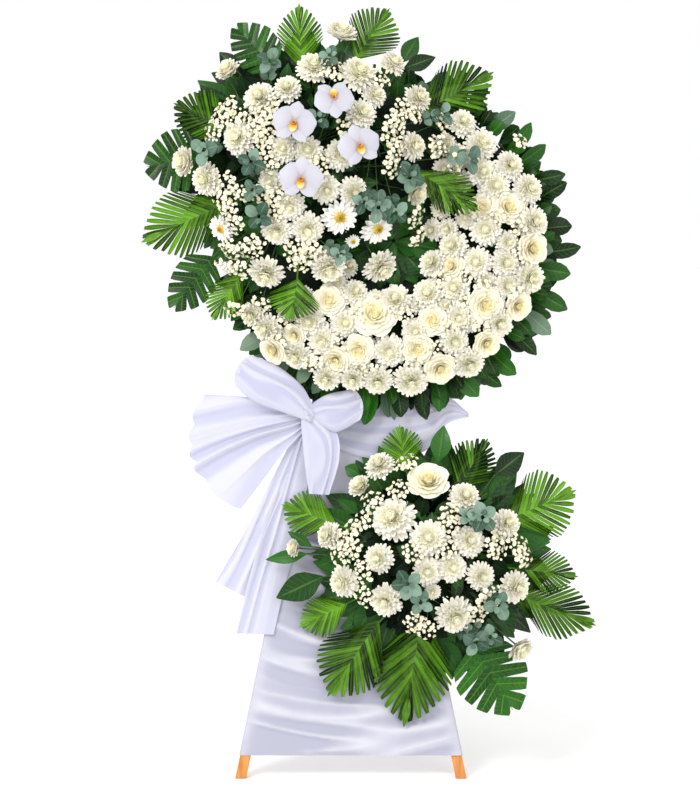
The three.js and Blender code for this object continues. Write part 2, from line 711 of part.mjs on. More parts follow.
// A soft piece between two edges, each a list of [x, y, out], pleated along its length and thickened.
// Its far end can swell out between the edges.
function softPiece(left, right, columns, pleat, thickness, swell = 0) {
  const rows = left.map((from, r) => {
    const to = right[r];
    const near = point(...from);
    const away = FRONT.clone().cross(point(...to).sub(near).setZ(0)).normalize();
    return Array.from({ length: columns + 1 }, (_, c) => {
      const wave = c % 2 === 0 ? -pleat : pleat;
      const edge = c === 0 || c === columns ? 0 : 1;
      const swing = r === 0 ? 0.4 : 1;
      const bulge = swell * Math.sin(Math.PI * Math.min(c / (0.85 * columns), 1));
      const place = mix(near, point(...to), c / columns);
      place.addScaledVector(away, -bulge * (r / (left.length - 1)) ** 2);
      return place.addScaledVector(FRONT, wave * edge * swing);
    });
  });
  const across = columns + 1;
  const thick = (i) => {
    const c = i % across;
    const r = Math.floor(i / across);
    const rim = c === 0 || c === columns || r === rows.length - 1;
    return typeof thickness === "number" ? thickness : thickness[rim ? 0 : 1];
  };
  return sheet(rows, thick);
}

// Blooms of the ring, in four stretches: right of and above the ring's centre, width, kind.
const RING_STRETCHES = [
  {
    name: "ring_blooms_upper_right",
    span: [8, 62],
    blooms: [
      [138, 234, 52], [176, 192, 60], [232, 148, 56], [178, 136, 56], [202, 108, 60], [268, 102, 58],
      [178, 66, 46, "rose"], [230, 66, 56, "rose"], [278, 36, 62], [184, 22, 60], [80, 22, 42], [110, 24, 38],
      [146, 46, 42],
    ],
  },
  {
    name: "ring_blooms_right",
    span: [-46, 6],
    blooms: [
      [120, -10, 56], [276, -16, 56, "rose"], [228, -4, 44], [224, -44, 56], [166, -44, 58],
      [116, -52, 46, "rose"],
      [80, -46, 56], [270, -74, 62], [226, -90, 50], [70, -108, 60], [122, -96, 58], [184, -128, 62, "rose"],
      [248, -130, 48, "rose"], [130, -154, 56], [210, -164, 56],
    ],
  },
  {
    name: "ring_blooms_bottom",
    span: [-102, -48],
    blooms: [
      [80, -160, 52, "rose"], [4, -120, 62], [-38, -148, 74, "rose"], [44, -182, 50], [122, -200, 56],
      [186, -204, 48, "rose"], [48, -216, 54, "rose"], [-8, -220, 62], [150, -244, 58],
      [94, -254, 54, "rose"],
      [36, -278, 64], [-30, -278, 56], [-80, -274, 50], [-68, -218, 54, "rose"],
    ],
  },
  {
    name: "ring_blooms_lower_left",
    span: [-150, -104],
    blooms: [
      [-132, -272, 54], [-114, -238, 50, "rose"], [-140, -198, 58], [-96, -164, 56], [-166, -160, 60],
      [-128, -120, 52, "rose"], [-76, -104, 50], [-196, -188, 40, "rose"], [-252, -174, 56], [-280, -148, 48],
      [-238, -218, 48, "rose"], [-192, -228, 56],
    ],
  },
];

// Bunches of the upper spray, also from the ring's centre. Each stem is placed round its mound.
const UPPER_BUNCHES = [
  {
    name: "upper_blooms_top",
    stem: [70, 42],
    blooms: [
      [-104, 408, 56, "bell"], [-158, 340, 62], [-70, 328, 70], [-210, 298, 52], [-170, 174, 56],
      [-64, 248, 56],
      [-38, 286, 46], [-2, 352, 50],
    ],
    buds: [[-122, 326]],
  },
  {
    name: "upper_blooms_left",
    stem: [172, 42],
    blooms: [
      [-264, 280, 62], [-326, 334, 48, "bell"], [-306, 200, 62], [-410, 156, 56, "bell"], [-370, 120, 60],
      [-216, 178, 52], [-244, 114, 46], [-342, 22, 50, "daisy"],
    ],
    buds: [[-326, 252], [-320, 100]],
  },
  {
    name: "upper_blooms_bottom",
    stem: [256, 42],
    blooms: [
      [-204, 66, 54], [-170, 22, 60], [-230, 18, 58], [-252, -64, 64], [-130, -52, 66],
      [-106, 44, 68, "daisy"],
      [-80, -4, 28, "daisy"],
    ],
    buds: [[-186, -28], [-292, -18]],
  },
  {
    name: "upper_blooms_right",
    stem: [-16, 42],
    blooms: [
      [-106, 166, 56], [-134, 98, 54], [-80, 94, 56], [-32, 22, 64, "daisy"], [48, 282, 54], [38, 186, 54],
      [-26, -52, 64], [42, 94, 48, "bell"],
    ],
    buds: [[24, 246], [90, 188], [42, 30]],
  },
];

// Bunches of the lower spray, from its own centre.
const LOWER_BUNCHES = [
  {
    name: "lower_blooms_left",
    stem: [165, 34],
    blooms: [
      [-90, 188, 56], [-128, 146, 44, "bell"], [-64, 84, 80], [-192, 50, 50], [-92, 6, 54], [-162, -42, 58],
      [-78, -78, 60], [-258, 24, 36, "bell"],
    ],
    buds: [[-148, 48], [-122, -22]],
  },
  {
    name: "lower_blooms_right",
    stem: [24, 34],
    blooms: [
      [6, 156, 68, "rose"], [78, 126, 58], [6, 46, 68], [86, 40, 58], [160, 74, 56], [52, -12, 54],
      [110, -30, 52],
      [178, -52, 60],
    ],
    buds: [[44, 74], [186, 12]],
  },
  {
    name: "lower_blooms_bottom",
    stem: [266, 34],
    blooms: [[186, -174, 52, "bell"], [58, -108, 68], [4, -20, 54], [14, -60, 30]],
    buds: [[114, -82], [-20, -118]],
  },
];

// Fronds: stalk end of the blade, tip, half width, level over the easel's front,
// and how far they lean back.
const frond = (hub, droop) => (name, base, tip, half, level, lean = droop) => (
  { hub, name, base, tip, half, level, droop: lean }
);
const upperFrond = frond(UPPER, 22);
const lowerFrond = frond(LOWER, 10);
const UPPER_PALMS = [
  upperFrond("upper_palm_left_high", [-342, 226], [-434, 274], 58, 69),
  upperFrond("upper_palm_left_low", [-356, 66], [-496, 2], 66, 69),
  upperFrond("upper_palm_bottom_left", [-312, -78], [-360, -154], 40, 76, 12),
  upperFrond("upper_palm_bottom", [-192, -90], [-206, -158], 52, 76, -62),
  upperFrond("upper_palm_top", [-184, 358], [-188, 470], 46, 69),
  upperFrond("upper_palm_top_right", [-66, 378], [-10, 462], 55, 76),
  upperFrond("upper_palm_right", [74, 266], [194, 334], 62, 76, 8),
  upperFrond("upper_palm_inner", [68, 124], [164, 60], 44, 76, -62),
];
const UPPER_SPLIT_LEAVES = [
  upperFrond("upper_split_leaf_left", [-396, 162], [-496, 138], 56, 82),
  upperFrond("upper_split_leaf_low", [-376, -48], [-442, -138], 46, 69, 12),
  upperFrond("upper_split_leaf_top", [-250, 360], [-318, 432], 48, 76),
];
const LOWER_PALMS = [
  lowerFrond("lower_palm_top", [-40, 190], [-50, 266], 42, 30),
  lowerFrond("lower_palm_top_right", [72, 150], [124, 238], 50, 37),
  lowerFrond("lower_palm_right_high", [186, 88], [298, 136], 70, 30),
  lowerFrond("lower_palm_right", [200, -20], [302, -34], 44, 37),
  lowerFrond("lower_palm_right_low", [202, -78], [336, -130], 56, 30),
  lowerFrond("lower_palm_bottom", [-10, -138], [-40, -326], 80, 30),
  lowerFrond("lower_palm_bottom_left", [-108, -146], [-190, -268], 70, 37),
  lowerFrond("lower_palm_left_low", [-170, -96], [-248, -134], 43, 30),
  lowerFrond("lower_palm_left_high", [-194, 76], [-282, 108], 49, 37),
];
const LOWER_SPLIT_LEAVES = [lowerFrond("lower_split_leaf", [110, -194], [180, -308], 74, 44)];

// Single leaves on long stalks: stalk end, tip, width.
const UPPER_LONG_LEAVES = [
  [[-310, 338], [-346, 376], 34],
  [[18, 356], [50, 406], 36],
  [[22, 344], [84, 366], 34],
];
const LOWER_LONG_LEAVES = [
  [[26, 196], [38, 268], 42],
  [[140, 170], [198, 214], 48],
  [[-204, -34], [-296, -76], 58],
  [[-132, 172], [-160, 186], 30],
];

// Stands all parts of the front in one leaning group.
const part = new THREE.Group();
part.name = "funeral_wreath";
const whole = new THREE.Group();
part.add(whole);
const front = new THREE.Group();
front.rotation.x = Math.PI / 2 - TILT;
whole.add(front);
const ring = new THREE.Group();
ring.position.set(RING_CENTRE[0], RING_CENTRE[1], 0);
front.add(ring);
const lower = new THREE.Group();
lower.position.set(LOWER_CENTRE[0], LOWER_CENTRE[1], 0);
front.add(lower);

function add(group, name, body, material) {
  const { numProp, vertProperties, triVerts } = body.asOriginal().simplify(0.12).getMesh();
  const positions = new Float32Array((vertProperties.length / numProp) * 3);
  for (let v = 0; v < positions.length / 3; v++) {
    positions.set(vertProperties.subarray(v * numProp, v * numProp + 3), v * 3);
  }
  const geometry = new THREE.BufferGeometry();
  geometry.setAttribute("position", new THREE.BufferAttribute(positions, 3));
  geometry.setIndex(new THREE.BufferAttribute(new Uint32Array(triVerts), 1));
  geometry.computeVertexNormals();
  const mesh = new THREE.Mesh(geometry, material);
  mesh.name = name;
  group.add(mesh);
  return mesh;
}

// Easel
add(front, "front_leg_left", frontLeg(-1), WOOD);
add(front, "front_leg_right", frontLeg(1), WOOD);
add(front, "lower_rail", legRail(426, 450), WOOD);
const BLOCK_BACK = -LEG_SECTION - CLEARANCE - 18;
add(front, "apex_block", block([-52, 900, BLOCK_BACK], [52, 985, -LEG_SECTION - CLEARANCE]), WOOD);
add(front, "stand_cloth", standCloth(), CLOTH);

function rearLeg() {
  const half = LEG_SECTION / 2;
  front.updateMatrix();
  const top = [[-half, 930], [half, 930], [half, 966], [-half, 966]].map(([x, up]) => {
    return point(x, up, BLOCK_BACK - CLEARANCE).applyMatrix4(front.matrix);
  });
  const corners = [[-half, 0], [half, 0], [half, 26], [-half, 26]];
  const bottom = corners.map(([x, deep]) => point(x, REAR_FOOT_BACK - 26 + deep, 0));
  return loft([bottom, top]);
}
add(whole, "rear_leg", rearLeg(), WOOD);

// Ring and mounds
const RING_BASE_FRONT = 8;
const ringProfile = (inner, outer, back, face, round) => [
  [inner, back],
  [outer, back],
  [outer, face - round],
  [outer - round, face],
  [inner + round, face],
  [inner, face - round],
];
const ringBase = turnedBody(ringProfile(RING_INNER - 4, RING_OUTER, CLEARANCE, RING_BASE_FRONT, 2), 24);
add(ring, "ring_base", ringBase, TRAY);
const foamBack = RING_BASE_FRONT + CLEARANCE;
const ringFoam = turnedBody(ringProfile(RING_INNER, RING_OUTER, foamBack, RING_FRONT, 12), 24);
add(ring, "ring_foam", ringFoam, FOAM);
const trayFront = LOWER.back - CLEARANCE;
const trayBack = CLOTH_THICKNESS + 2 * CLEARANCE;
const tray = { ...LOWER, radius: LOWER.radius + 5, back: trayBack, shoulder: 7, front: trayFront };
add(lower, "lower_tray", mound(tray, 16), TRAY);

// Greenery of the ring
[[-158, -92], [-90, -24], [-22, 44], [46, 112]].forEach(([from, to], k) => {
  add(ring, `ring_leaves_${k + 1}`, rimTwig(from, to, 8.2), DARK_LEAF);
});
add(ring, "middle_leaves", middleLeaves(), DARK_LEAF);

// Blooms of the ring and the upper spray share one space
const ringBlooms = RING_STRETCHES.map((stretch) => bloomList(stretch.blooms, onRing));
const upperBlooms = UPPER_BUNCHES.map((group) => bloomList(group.blooms, (x, y) => onDome(UPPER, x, y)));
fitApart(upperBlooms.flat());
RING_STRETCHES.forEach(({ name, span }, k) => {
  add(ring, name, ringBunch(span, ringBlooms[k], [...ringBlooms, ...upperBlooms].flat()), PETAL);
});

// Upper spray
const upperRooms = [];
UPPER_BUNCHES.forEach(({ name, stem, buds }, k) => {
  const main = mainStem(UPPER, ...stem);
  const seats = buds.map(([x, y]) => onDome(UPPER, x, y, 6));
  add(ring, name, bunch(main, upperBlooms[k], seats), PETAL);
  upperRooms.push(main.room);
});
const orchids = orchidSpray(UPPER, 290, 16, [
  [-196, 226, 92, 0.2],
  [-118, 276, 84, 3.0],
  [-68, 182, 90, -0.3],
  [-182, 116, 92, 0.1],
]);
add(ring, "orchid_spray", orchids.body, ORCHID);
upperRooms.push(orchids.room);
const UPPER_EUCALYPTUS = [
  { name: "upper_eucalyptus_top", stem: [138, 62, [112, 44]], sprigs: [[-244, 352, 4], [-374, 176, 3]] },
  { name: "upper_eucalyptus_left", stem: [226, 62, [112, 44]], sprigs: [[-280, 150, 4], [-266, 44, 4]] },
  {
    name: "upper_eucalyptus_right",
    stem: [24, 70, [150, 30]],
    sprigs: [[32, 122, 5], [-30, 62, 5], [150, 160, 3]],
  },
];
for (const { name, stem, sprigs } of UPPER_EUCALYPTUS) {
  const sprig = eucalyptus(UPPER, ...stem, sprigs);
  add(ring, name, sprig.body, EUCALYPTUS);
  upperRooms.push(sprig.room);
}
for (const palm of UPPER_PALMS) {
  add(ring, palm.name, palmFrond(palm), PALM);
  upperRooms.push(stalkRoom(UPPER, palm.base, palm.level));
}
for (const split of UPPER_SPLIT_LEAVES) {
  add(ring, split.name, splitLeaf(split), SPLIT_LEAF);
  upperRooms.push(stalkRoom(UPPER, split.base, split.level));
}
add(ring, "upper_leaf_collar", leafCollar(UPPER, 12, 9, UPPER_LONG_LEAVES), DARK_LEAF);
add(ring, "upper_foam", mound(UPPER, 14).subtract(join(upperRooms)), FOAM);

// Lower spray
const lowerRooms = [];
const lowerBlooms = LOWER_BUNCHES.map((group) => bloomList(group.blooms, (x, y) => onDome(LOWER, x, y)));
fitApart(lowerBlooms.flat());
LOWER_BUNCHES.forEach(({ name, stem, buds }, k) => {
  const main = mainStem(LOWER, ...stem);
  const seats = buds.map(([x, y]) => onDome(LOWER, x, y, 6));
  add(lower, name, bunch(main, lowerBlooms[k], seats), PETAL);
  lowerRooms.push(main.room);
});
const LOWER_EUCALYPTUS = [
  { name: "lower_eucalyptus_right", stem: [88, 62, [96, 44]], sprigs: [[112, 88, 5], [144, -86, 3]] },
  { name: "lower_eucalyptus_left", stem: [214, 48, [70, 44]], sprigs: [[-36, -44, 5], [100, -160, 4]] },
];
for (const { name, stem, sprigs } of LOWER_EUCALYPTUS) {
  const sprig = eucalyptus(LOWER, ...stem, sprigs);
  add(lower, name, sprig.body, EUCALYPTUS);
  lowerRooms.push(sprig.room);
}
for (const palm of LOWER_PALMS) {
  add(lower, palm.name, palmFrond(palm), PALM);
  lowerRooms.push(stalkRoom(LOWER, palm.base, palm.level));
}
for (const split of LOWER_SPLIT_LEAVES) {
  add(lower, split.name, splitLeaf(split), SPLIT_LEAF);
  lowerRooms.push(stalkRoom(LOWER, split.base, split.level));
}
add(lower, "lower_leaf_collar", leafCollar(LOWER, 11, 8, LOWER_LONG_LEAVES), DARK_LEAF);
add(lower, "lower_foam", mound(LOWER, 14).subtract(join(lowerRooms)), FOAM);

// Sash and bow, from pairs of edges that run away from the knot
const sash = softPiece(
  [[-98, 750, 30.8], [-44, 764, 5], [60, 770, 4.6], [150, 766, 4.6], [196, 768, 4.6], [236, 736, 4.6]],
  [[-92, 704, 30.8], [-44, 668, 5], [60, 640, 4.6], [150, 660, 4.6], [192, 712, 4.6], [238, 728, 4.6]],
  6, 0.8, 2,
);
add(front, "sash", sash, SATIN);
const bowLoops = join([
  turnedBody([[0.5, 43.6], [20, 50], [24, 62], [18, 78], [0.5, 84]], 8, -84, 732),
  softPiece(
    [[-72, 742, 64], [-98, 790, 68], [-150, 832, 70], [-200, 852, 66]],
    [[-92, 722, 64], [-150, 742, 68], [-196, 760, 70], [-232, 790, 66]],
    4, 4, [6, 26],
  ),
  softPiece(
    [[-92, 744, 62], [-50, 772, 66], [6, 784, 62]],
    [[-72, 720, 62], [-30, 698, 66], [18, 722, 62]],
    4, 4, [6, 24],
  ),
  softPiece(
    [[-100, 730, 60], [-98, 690, 60], [-92, 630, 58], [-84, 574, 56]],
    [[-66, 726, 60], [-28, 694, 60], [-24, 640, 58], [-44, 572, 56]],
    4, 4, [4, 8],
  ),
]);
add(front, "bow_loops", bowLoops, SATIN);
const bowFan = softPiece(
  [[-94, 744, 41.8], [-180, 768, 40], [-292, 780, 38]],
  [[-78, 716, 41.8], [-150, 650, 38], [-216, 546, 36]],
  8, 2.5, 3, 60,
);
add(front, "bow_fan", bowFan, SATIN);
const bowTails = softPiece(
  [[-98, 726, 36.5], [-150, 620, 22], [-210, 500, 12], [-272, 392, 9], [-262, 330, 9], [-232, 292, 9]],
  [[-72, 720, 36.5], [-84, 620, 22], [-100, 500, 12], [-134, 400, 9], [-142, 350, 9], [-156, 290, 9]],
  6, 2.5, 3,
);
add(front, "bow_tails", bowTails, SATIN);

// Centre the bounding box on the origin and stand it on the floor
whole.updateMatrixWorld(true);
const box = new THREE.Box3().setFromObject(whole, true);
whole.position.set(-(box.min.x + box.max.x) / 2, -(box.min.y + box.max.y) / 2, -box.min.z);
part.updateMatrixWorld(true);

export default part;
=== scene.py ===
"""Looks of a standing funeral wreath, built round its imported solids.

Plants, cloth and ribbon are gathered as lattices of points, in millimetres, in the frame of the leaning
front: x to the viewer's right, y up along the front, z out to the viewer.
"""

import math
import random

import bpy
import numpy as np
from mathutils import Matrix, Vector, noise


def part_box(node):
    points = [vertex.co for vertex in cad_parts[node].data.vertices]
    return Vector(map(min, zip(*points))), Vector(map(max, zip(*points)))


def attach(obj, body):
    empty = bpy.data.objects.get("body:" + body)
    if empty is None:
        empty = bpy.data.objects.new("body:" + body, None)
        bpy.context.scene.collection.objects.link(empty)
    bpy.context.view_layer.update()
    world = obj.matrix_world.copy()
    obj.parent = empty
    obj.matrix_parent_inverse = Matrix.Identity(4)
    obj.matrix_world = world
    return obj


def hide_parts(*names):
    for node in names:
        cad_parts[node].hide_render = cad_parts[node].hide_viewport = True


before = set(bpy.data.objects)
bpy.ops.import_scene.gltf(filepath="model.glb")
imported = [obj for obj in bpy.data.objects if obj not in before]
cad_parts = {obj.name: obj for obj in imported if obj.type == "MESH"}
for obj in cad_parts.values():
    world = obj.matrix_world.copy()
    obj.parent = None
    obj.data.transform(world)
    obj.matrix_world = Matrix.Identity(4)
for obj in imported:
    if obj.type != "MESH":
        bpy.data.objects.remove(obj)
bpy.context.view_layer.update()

# Places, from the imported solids
MM = 0.001
TILT = math.radians(8)
left_low, left_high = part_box("front_leg_left")
right_low, right_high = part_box("front_leg_right")
DATUM = Vector(((left_low.x + right_high.x) / 2, min(left_low.y, right_low.y), 0))
FRONT_FRAME = Matrix.Translation(DATUM) @ Matrix.Rotation(math.pi / 2 - TILT, 4, "X") @ Matrix.Scale(MM, 4)
RING_FRAME = FRONT_FRAME @ Matrix.Translation((84, 1080, 0))
LOWER_FRAME = FRONT_FRAME @ Matrix.Translation((148, 442, 0))
RING_OUTER = 285
RING_FRONT = 60
UPPER = {"x": -176, "y": 152, "radius": 90, "shoulder": 88, "front": 118, "low": 104, "rise": 80, "reach": 265, "back": 38}
LOWER = {"x": 14, "y": 0, "radius": 76, "shoulder": 54, "front": 80, "low": 66, "rise": 78, "reach": 240, "back": 16}
OUT = np.array((0.0, 0.0, 1.0))


def vec(*numbers):
    return np.array(numbers, float)


def unit(v):
    return v / np.linalg.norm(v)


def heading(degrees):
    angle = math.radians(degrees)
    return vec(math.cos(angle), math.sin(angle), 0)


def between(low, high, share):
    return low + (high - low) * share


def smooth_share(value, low, high):
    share = min(max((value - low) / (high - low), 0), 1)
    return share * share * (3 - 2 * share)


# Materials
def srgb(red, green, blue):
    """A colour as seen on a screen, 0 to 255, as linear light."""
    def linear(value):
        share = value / 255
        return share / 12.92 if share <= 0.04045 else ((share + 0.055) / 1.055) ** 2.4
    return (linear(red), linear(green), linear(blue), 1)


class Look:
    """A material's node tree, with short calls for what its nodes do."""

    def __init__(self, name, **sockets):
        self.material = bpy.data.materials.new(name)
        self.material.use_nodes = True
        self.tree = self.material.node_tree
        self.shader = self.tree.nodes["Principled BSDF"]
        for socket, value in sockets.items():
            self.shader.inputs[socket.replace("_", " ")].default_value = value
        shade = self.node("ShaderNodeAttribute", attribute_name="shade")
        parts = self.node("ShaderNodeSeparateColor")
        self.link(shade.outputs["Color"], parts.inputs[0])
        self.along, self.across, self.tone = parts.outputs
        # depth: the share out from a flower's middle, or on cloth the height of a fold, which sets painted shade in its
        # hollows
        self.depth = shade.outputs["Alpha"]
        self.where = self.node("ShaderNodeTexCoord").outputs["Object"]

    def node(self, kind, **settings):
        node = self.tree.nodes.new(kind)
        for key, value in settings.items():
            setattr(node, key, value)
        return node

    def link(self, source, target):
        self.tree.links.new(source, target)

    def feed(self, target, value):
        if isinstance(value, bpy.types.NodeSocket):
            self.link(value, target)
        else:
            target.default_value = value

    def math(self, operation, first, second=0.0):
        node = self.node("ShaderNodeMath", operation=operation)
        self.feed(node.inputs[0], first)
        self.feed(node.inputs[1], second)
        return node.outputs[0]

    def span(self, value, low, high, to_low=0.0, to_high=1.0):
        node = self.node("ShaderNodeMapRange", interpolation_type="SMOOTHSTEP")
        self.feed(node.inputs["Value"], value)
        for key, number in (("From Min", low), ("From Max", high), ("To Min", to_low), ("To Max", to_high)):
            node.inputs[key].default_value = number
        return node.outputs["Result"]

    def mix(self, share, first, second):
        node = self.node("ShaderNodeMix", data_type="RGBA")
        self.feed(node.inputs["Factor"], share)
        colour_sockets = [socket for socket in node.inputs if socket.type == "RGBA"]
        self.feed(colour_sockets[0], first)
        self.feed(colour_sockets[1], second)
        return [socket for socket in node.outputs if socket.type == "RGBA"][0]

    def ramp(self, value, stops):
        node = self.node("ShaderNodeValToRGB")
        elements = node.color_ramp.elements
        while len(elements) < len(stops):
            elements.new(0.5)
        for element, (place, colour) in zip(elements, stops):
            element.position = place
            element.color = colour
        self.link(value, node.inputs[0])
        return node.outputs[0]

    def noise(self, scale, detail=3.0, stretch=None):
        source = self.where
        if stretch:
            mapping = self.node("ShaderNodeMapping")
            mapping.inputs["Scale"].default_value = stretch
            self.link(source, mapping.inputs["Vector"])
            source = mapping.outputs[0]
        node = self.node("ShaderNodeTexNoise")
        node.inputs["Scale"].default_value = scale
        node.inputs["Detail"].default_value = detail
        self.link(source, node.inputs["Vector"])
        return node.outputs[0]

    def wave(self, value, turns):
        return self.math("SINE", self.math("MULTIPLY", value, turns * 2 * math.pi))

    def colour(self, value):
        self.feed(self.shader.inputs["Base Color"], value)

    def roughness(self, value, low, high):
        self.link(self.span(value, 0.25, 0.75, low, high), self.shader.inputs["Roughness"])

    def bump(self, height, strength, distance):
        node = self.node("ShaderNodeBump")
        node.inputs["Strength"].default_value = strength
        node.inputs["Distance"].default_value = distance
        self.link(height, node.inputs["Height"])
        self.link(node.outputs[0], self.shader.inputs["Normal"])


def leaf_look(name, dark, light, vein, rough, gloss=0.4, veins=9, slant=3.0, vein_share=0.35):
    """A leaf with a pale midrib and slanting side veins, a little different from leaf to leaf."""
    look = Look(name, Specular_IOR_Level=gloss)
    speckle = look.noise(70)
    shade = look.math("ADD", look.math("MULTIPLY", look.tone, 0.75), look.math("MULTIPLY", speckle, 0.3))
    base = look.mix(look.span(shade, 0.1, 0.95), dark, light)
    aside = look.math("ABSOLUTE", look.math("SUBTRACT", look.across, 0.5))
    rib = look.span(aside, 0.015, 0.06, 1.0, 0.0)
    course = look.math("SUBTRACT", look.math("MULTIPLY", look.along, veins), look.math("MULTIPLY", aside, slant))
    side = look.span(look.wave(course, 1.0), 0.8, 1.0)
    lines = look.math("MAXIMUM", rib, look.math("MULTIPLY", side, 0.45))
    look.colour(look.mix(look.math("MULTIPLY", lines, vein_share), base, vein))
    look.roughness(speckle, rough - 0.08, rough + 0.1)
    look.bump(look.math("ADD", lines, look.math("MULTIPLY", speckle, 0.3)), 0.35, 0.0006)
    return look.material


def petal_look(name, stops, rough=0.62, ribs=4):
    """A petal coloured from the flower's middle outwards, with fine ribs along it."""
    look = Look(name, Specular_IOR_Level=0.3, Sheen_Weight=0.12)
    speckle = look.noise(120)
    drift = look.math("MULTIPLY", look.math("SUBTRACT", look.tone, 0.5), 0.14)
    place = look.math("ADD", look.math("ADD", look.depth, drift), look.math("MULTIPLY", speckle, 0.06))
    look.colour(look.ramp(place, stops))
    look.roughness(speckle, rough - 0.06, rough + 0.08)
    look.bump(look.math("ADD", look.wave(look.across, ribs), look.math("MULTIPLY", speckle, 0.5)), 0.25, 0.0004)
    return look.material


def plain_look(name, first, second, scale, rough, relief, distance, stretch=None):
    """A surface that varies between two colours, with relief of the same grain."""
    look = Look(name, Specular_IOR_Level=0.4)
    grain = look.noise(scale, 5.0, stretch)
    look.colour(look.mix(look.span(grain, 0.3, 0.7), first, second))
    look.roughness(grain, rough - 0.08, rough + 0.08)
    look.bump(grain, relief, distance)
    return look.material


def cloth_look(name, light, shade, alpha, sheen):
    """Thin woven cloth: crossed threads, soft sheen and a cool painted shade in its hollows, set by the height of its
    folds.
    """
    look = Look(name, Roughness=0.8, Sheen_Weight=sheen, Sheen_Roughness=0.4, Specular_IOR_Level=0.2, Alpha=alpha)
    slub = look.noise(30, 4.0)
    warp = look.wave(look.along, 420)
    weft = look.wave(look.across, 300)
    # painted shade from the fold height, with random slub tone on top
    fold_shade_and_slub = look.math("ADD", look.depth, look.math("MULTIPLY", look.math("SUBTRACT", slub, 0.5), 0.3))
    look.colour(look.mix(look.span(fold_shade_and_slub, 0.0, 0.8), shade, light))
    look.bump(look.math("ADD", look.math("MULTIPLY", warp, weft), look.math("MULTIPLY", slub, 2.0)), 0.12, 0.0003)
    return look.material


WHITE = srgb(242, 239, 226)
IVORY = srgb(244, 239, 219)
LOOKS = {
    "mum": petal_look("mum_petal", [
        (0.0, srgb(250, 248, 172)), (0.14, srgb(252, 249, 206)), (0.32, srgb(248, 245, 220)), (0.6, WHITE), (1.0, WHITE),
    ]),
    "daisy": petal_look("daisy_petal", [
        (0.0, srgb(232, 226, 178)), (0.35, srgb(236, 232, 212)), (0.6, srgb(234, 233, 226)), (1.0, srgb(234, 233, 226)),
    ]),
    "rose": petal_look("rose_petal", [
        (0.0, srgb(246, 230, 164)), (0.3, srgb(248, 240, 202)), (0.65, srgb(246, 241, 219)), (1.0, IVORY),
    ], 0.55, 6),
    "bell": petal_look("bell_petal", [
        (0.0, srgb(244, 240, 176)), (0.3, srgb(246, 242, 212)), (0.7, srgb(243, 240, 226)), (1.0, WHITE),
    ], 0.6, 6),
    "orchid": petal_look("orchid_tepal", [
        (0.0, srgb(160, 138, 146)), (0.3, srgb(176, 174, 183)), (1.0, srgb(186, 186, 195)),
    ], 0.5, 7),
    "lip": petal_look("orchid_lip", [
        (0.0, srgb(176, 80, 18)), (0.35, srgb(222, 150, 30)), (0.7, srgb(234, 192, 80)), (1.0, srgb(236, 220, 170)),
    ], 0.45, 3),
    "disc": petal_look("flower_disc", [
        (0.0, srgb(140, 130, 24)), (0.5, srgb(206, 170, 42)), (1.0, srgb(226, 204, 96)),
    ], 0.8, 2),
    "bud": petal_look("small_bud", [
        (0.0, srgb(196, 198, 122)), (0.35, srgb(238, 230, 198)), (1.0, srgb(245, 239, 216)),
    ], 0.6, 3),
    # painted shade: near-black, barely glossy leaves set under and between blooms to stand for the shade in the gaps
    "painted_shade_leaf": leaf_look("painted_shade_leaf", srgb(2, 9, 3), srgb(10, 34, 8), srgb(36, 62, 28), 0.5, 0.06),
    "dark_leaf": leaf_look("dark_leaf", srgb(6, 29, 6), srgb(36, 92, 22), srgb(96, 136, 64), 0.36, 0.2),
    "rim_leaf": leaf_look("rim_leaf", srgb(4, 24, 4), srgb(36, 92, 20), srgb(100, 140, 64), 0.3, 0.18),
    "grey_leaf": leaf_look("grey_leaf", srgb(60, 90, 66), srgb(108, 134, 108), srgb(150, 168, 142), 0.5),
    "palm": leaf_look("palm_leaflet", srgb(6, 38, 3), srgb(106, 162, 38), srgb(140, 180, 76), 0.34, 0.2, 1, 0.0, 0.3),
    "split": leaf_look("split_leaf", srgb(5, 38, 6), srgb(42, 106, 16), srgb(112, 156, 60), 0.3, 0.2, 6, 2.0, 0.4),
    "eucalyptus": leaf_look(
        "eucalyptus_leaf", srgb(42, 72, 54), srgb(124, 150, 132), srgb(154, 172, 156), 0.6, 0.25, 5, 2.0, 0.3
    ),
    "stem": plain_look("green_stem", srgb(28, 56, 16), srgb(62, 94, 34), 90, 0.5, 0.2, 0.0004),
    "stand_cloth": cloth_look("stand_cloth", srgb(201, 201, 211), srgb(168, 168, 184), 1.0, 0.1),
    "bow_cloth": cloth_look("bow_cloth", srgb(198, 198, 212), srgb(180, 180, 203), 0.92, 0.12),
    "wood": plain_look(
        "pine_wood", srgb(186, 112, 44), srgb(212, 146, 74), 26, 0.42, 0.15, 0.0004, (3.0, 3.0, 0.35)
    ),
    # painted shade: the foam is coloured near black so that it reads as the shade deep behind the blooms
    "foam": plain_look("shade_dark_foam", srgb(6, 22, 8), srgb(12, 34, 13), 400, 0.9, 0.6, 0.001),
    "moulded": plain_look("moulded_base", srgb(16, 38, 18), srgb(24, 50, 24), 160, 0.5, 0.1, 0.0003),
    "floor": plain_look("pale_floor", srgb(250, 250, 250), srgb(252, 252, 252), 3, 0.8, 0.0, 0.0001),
}


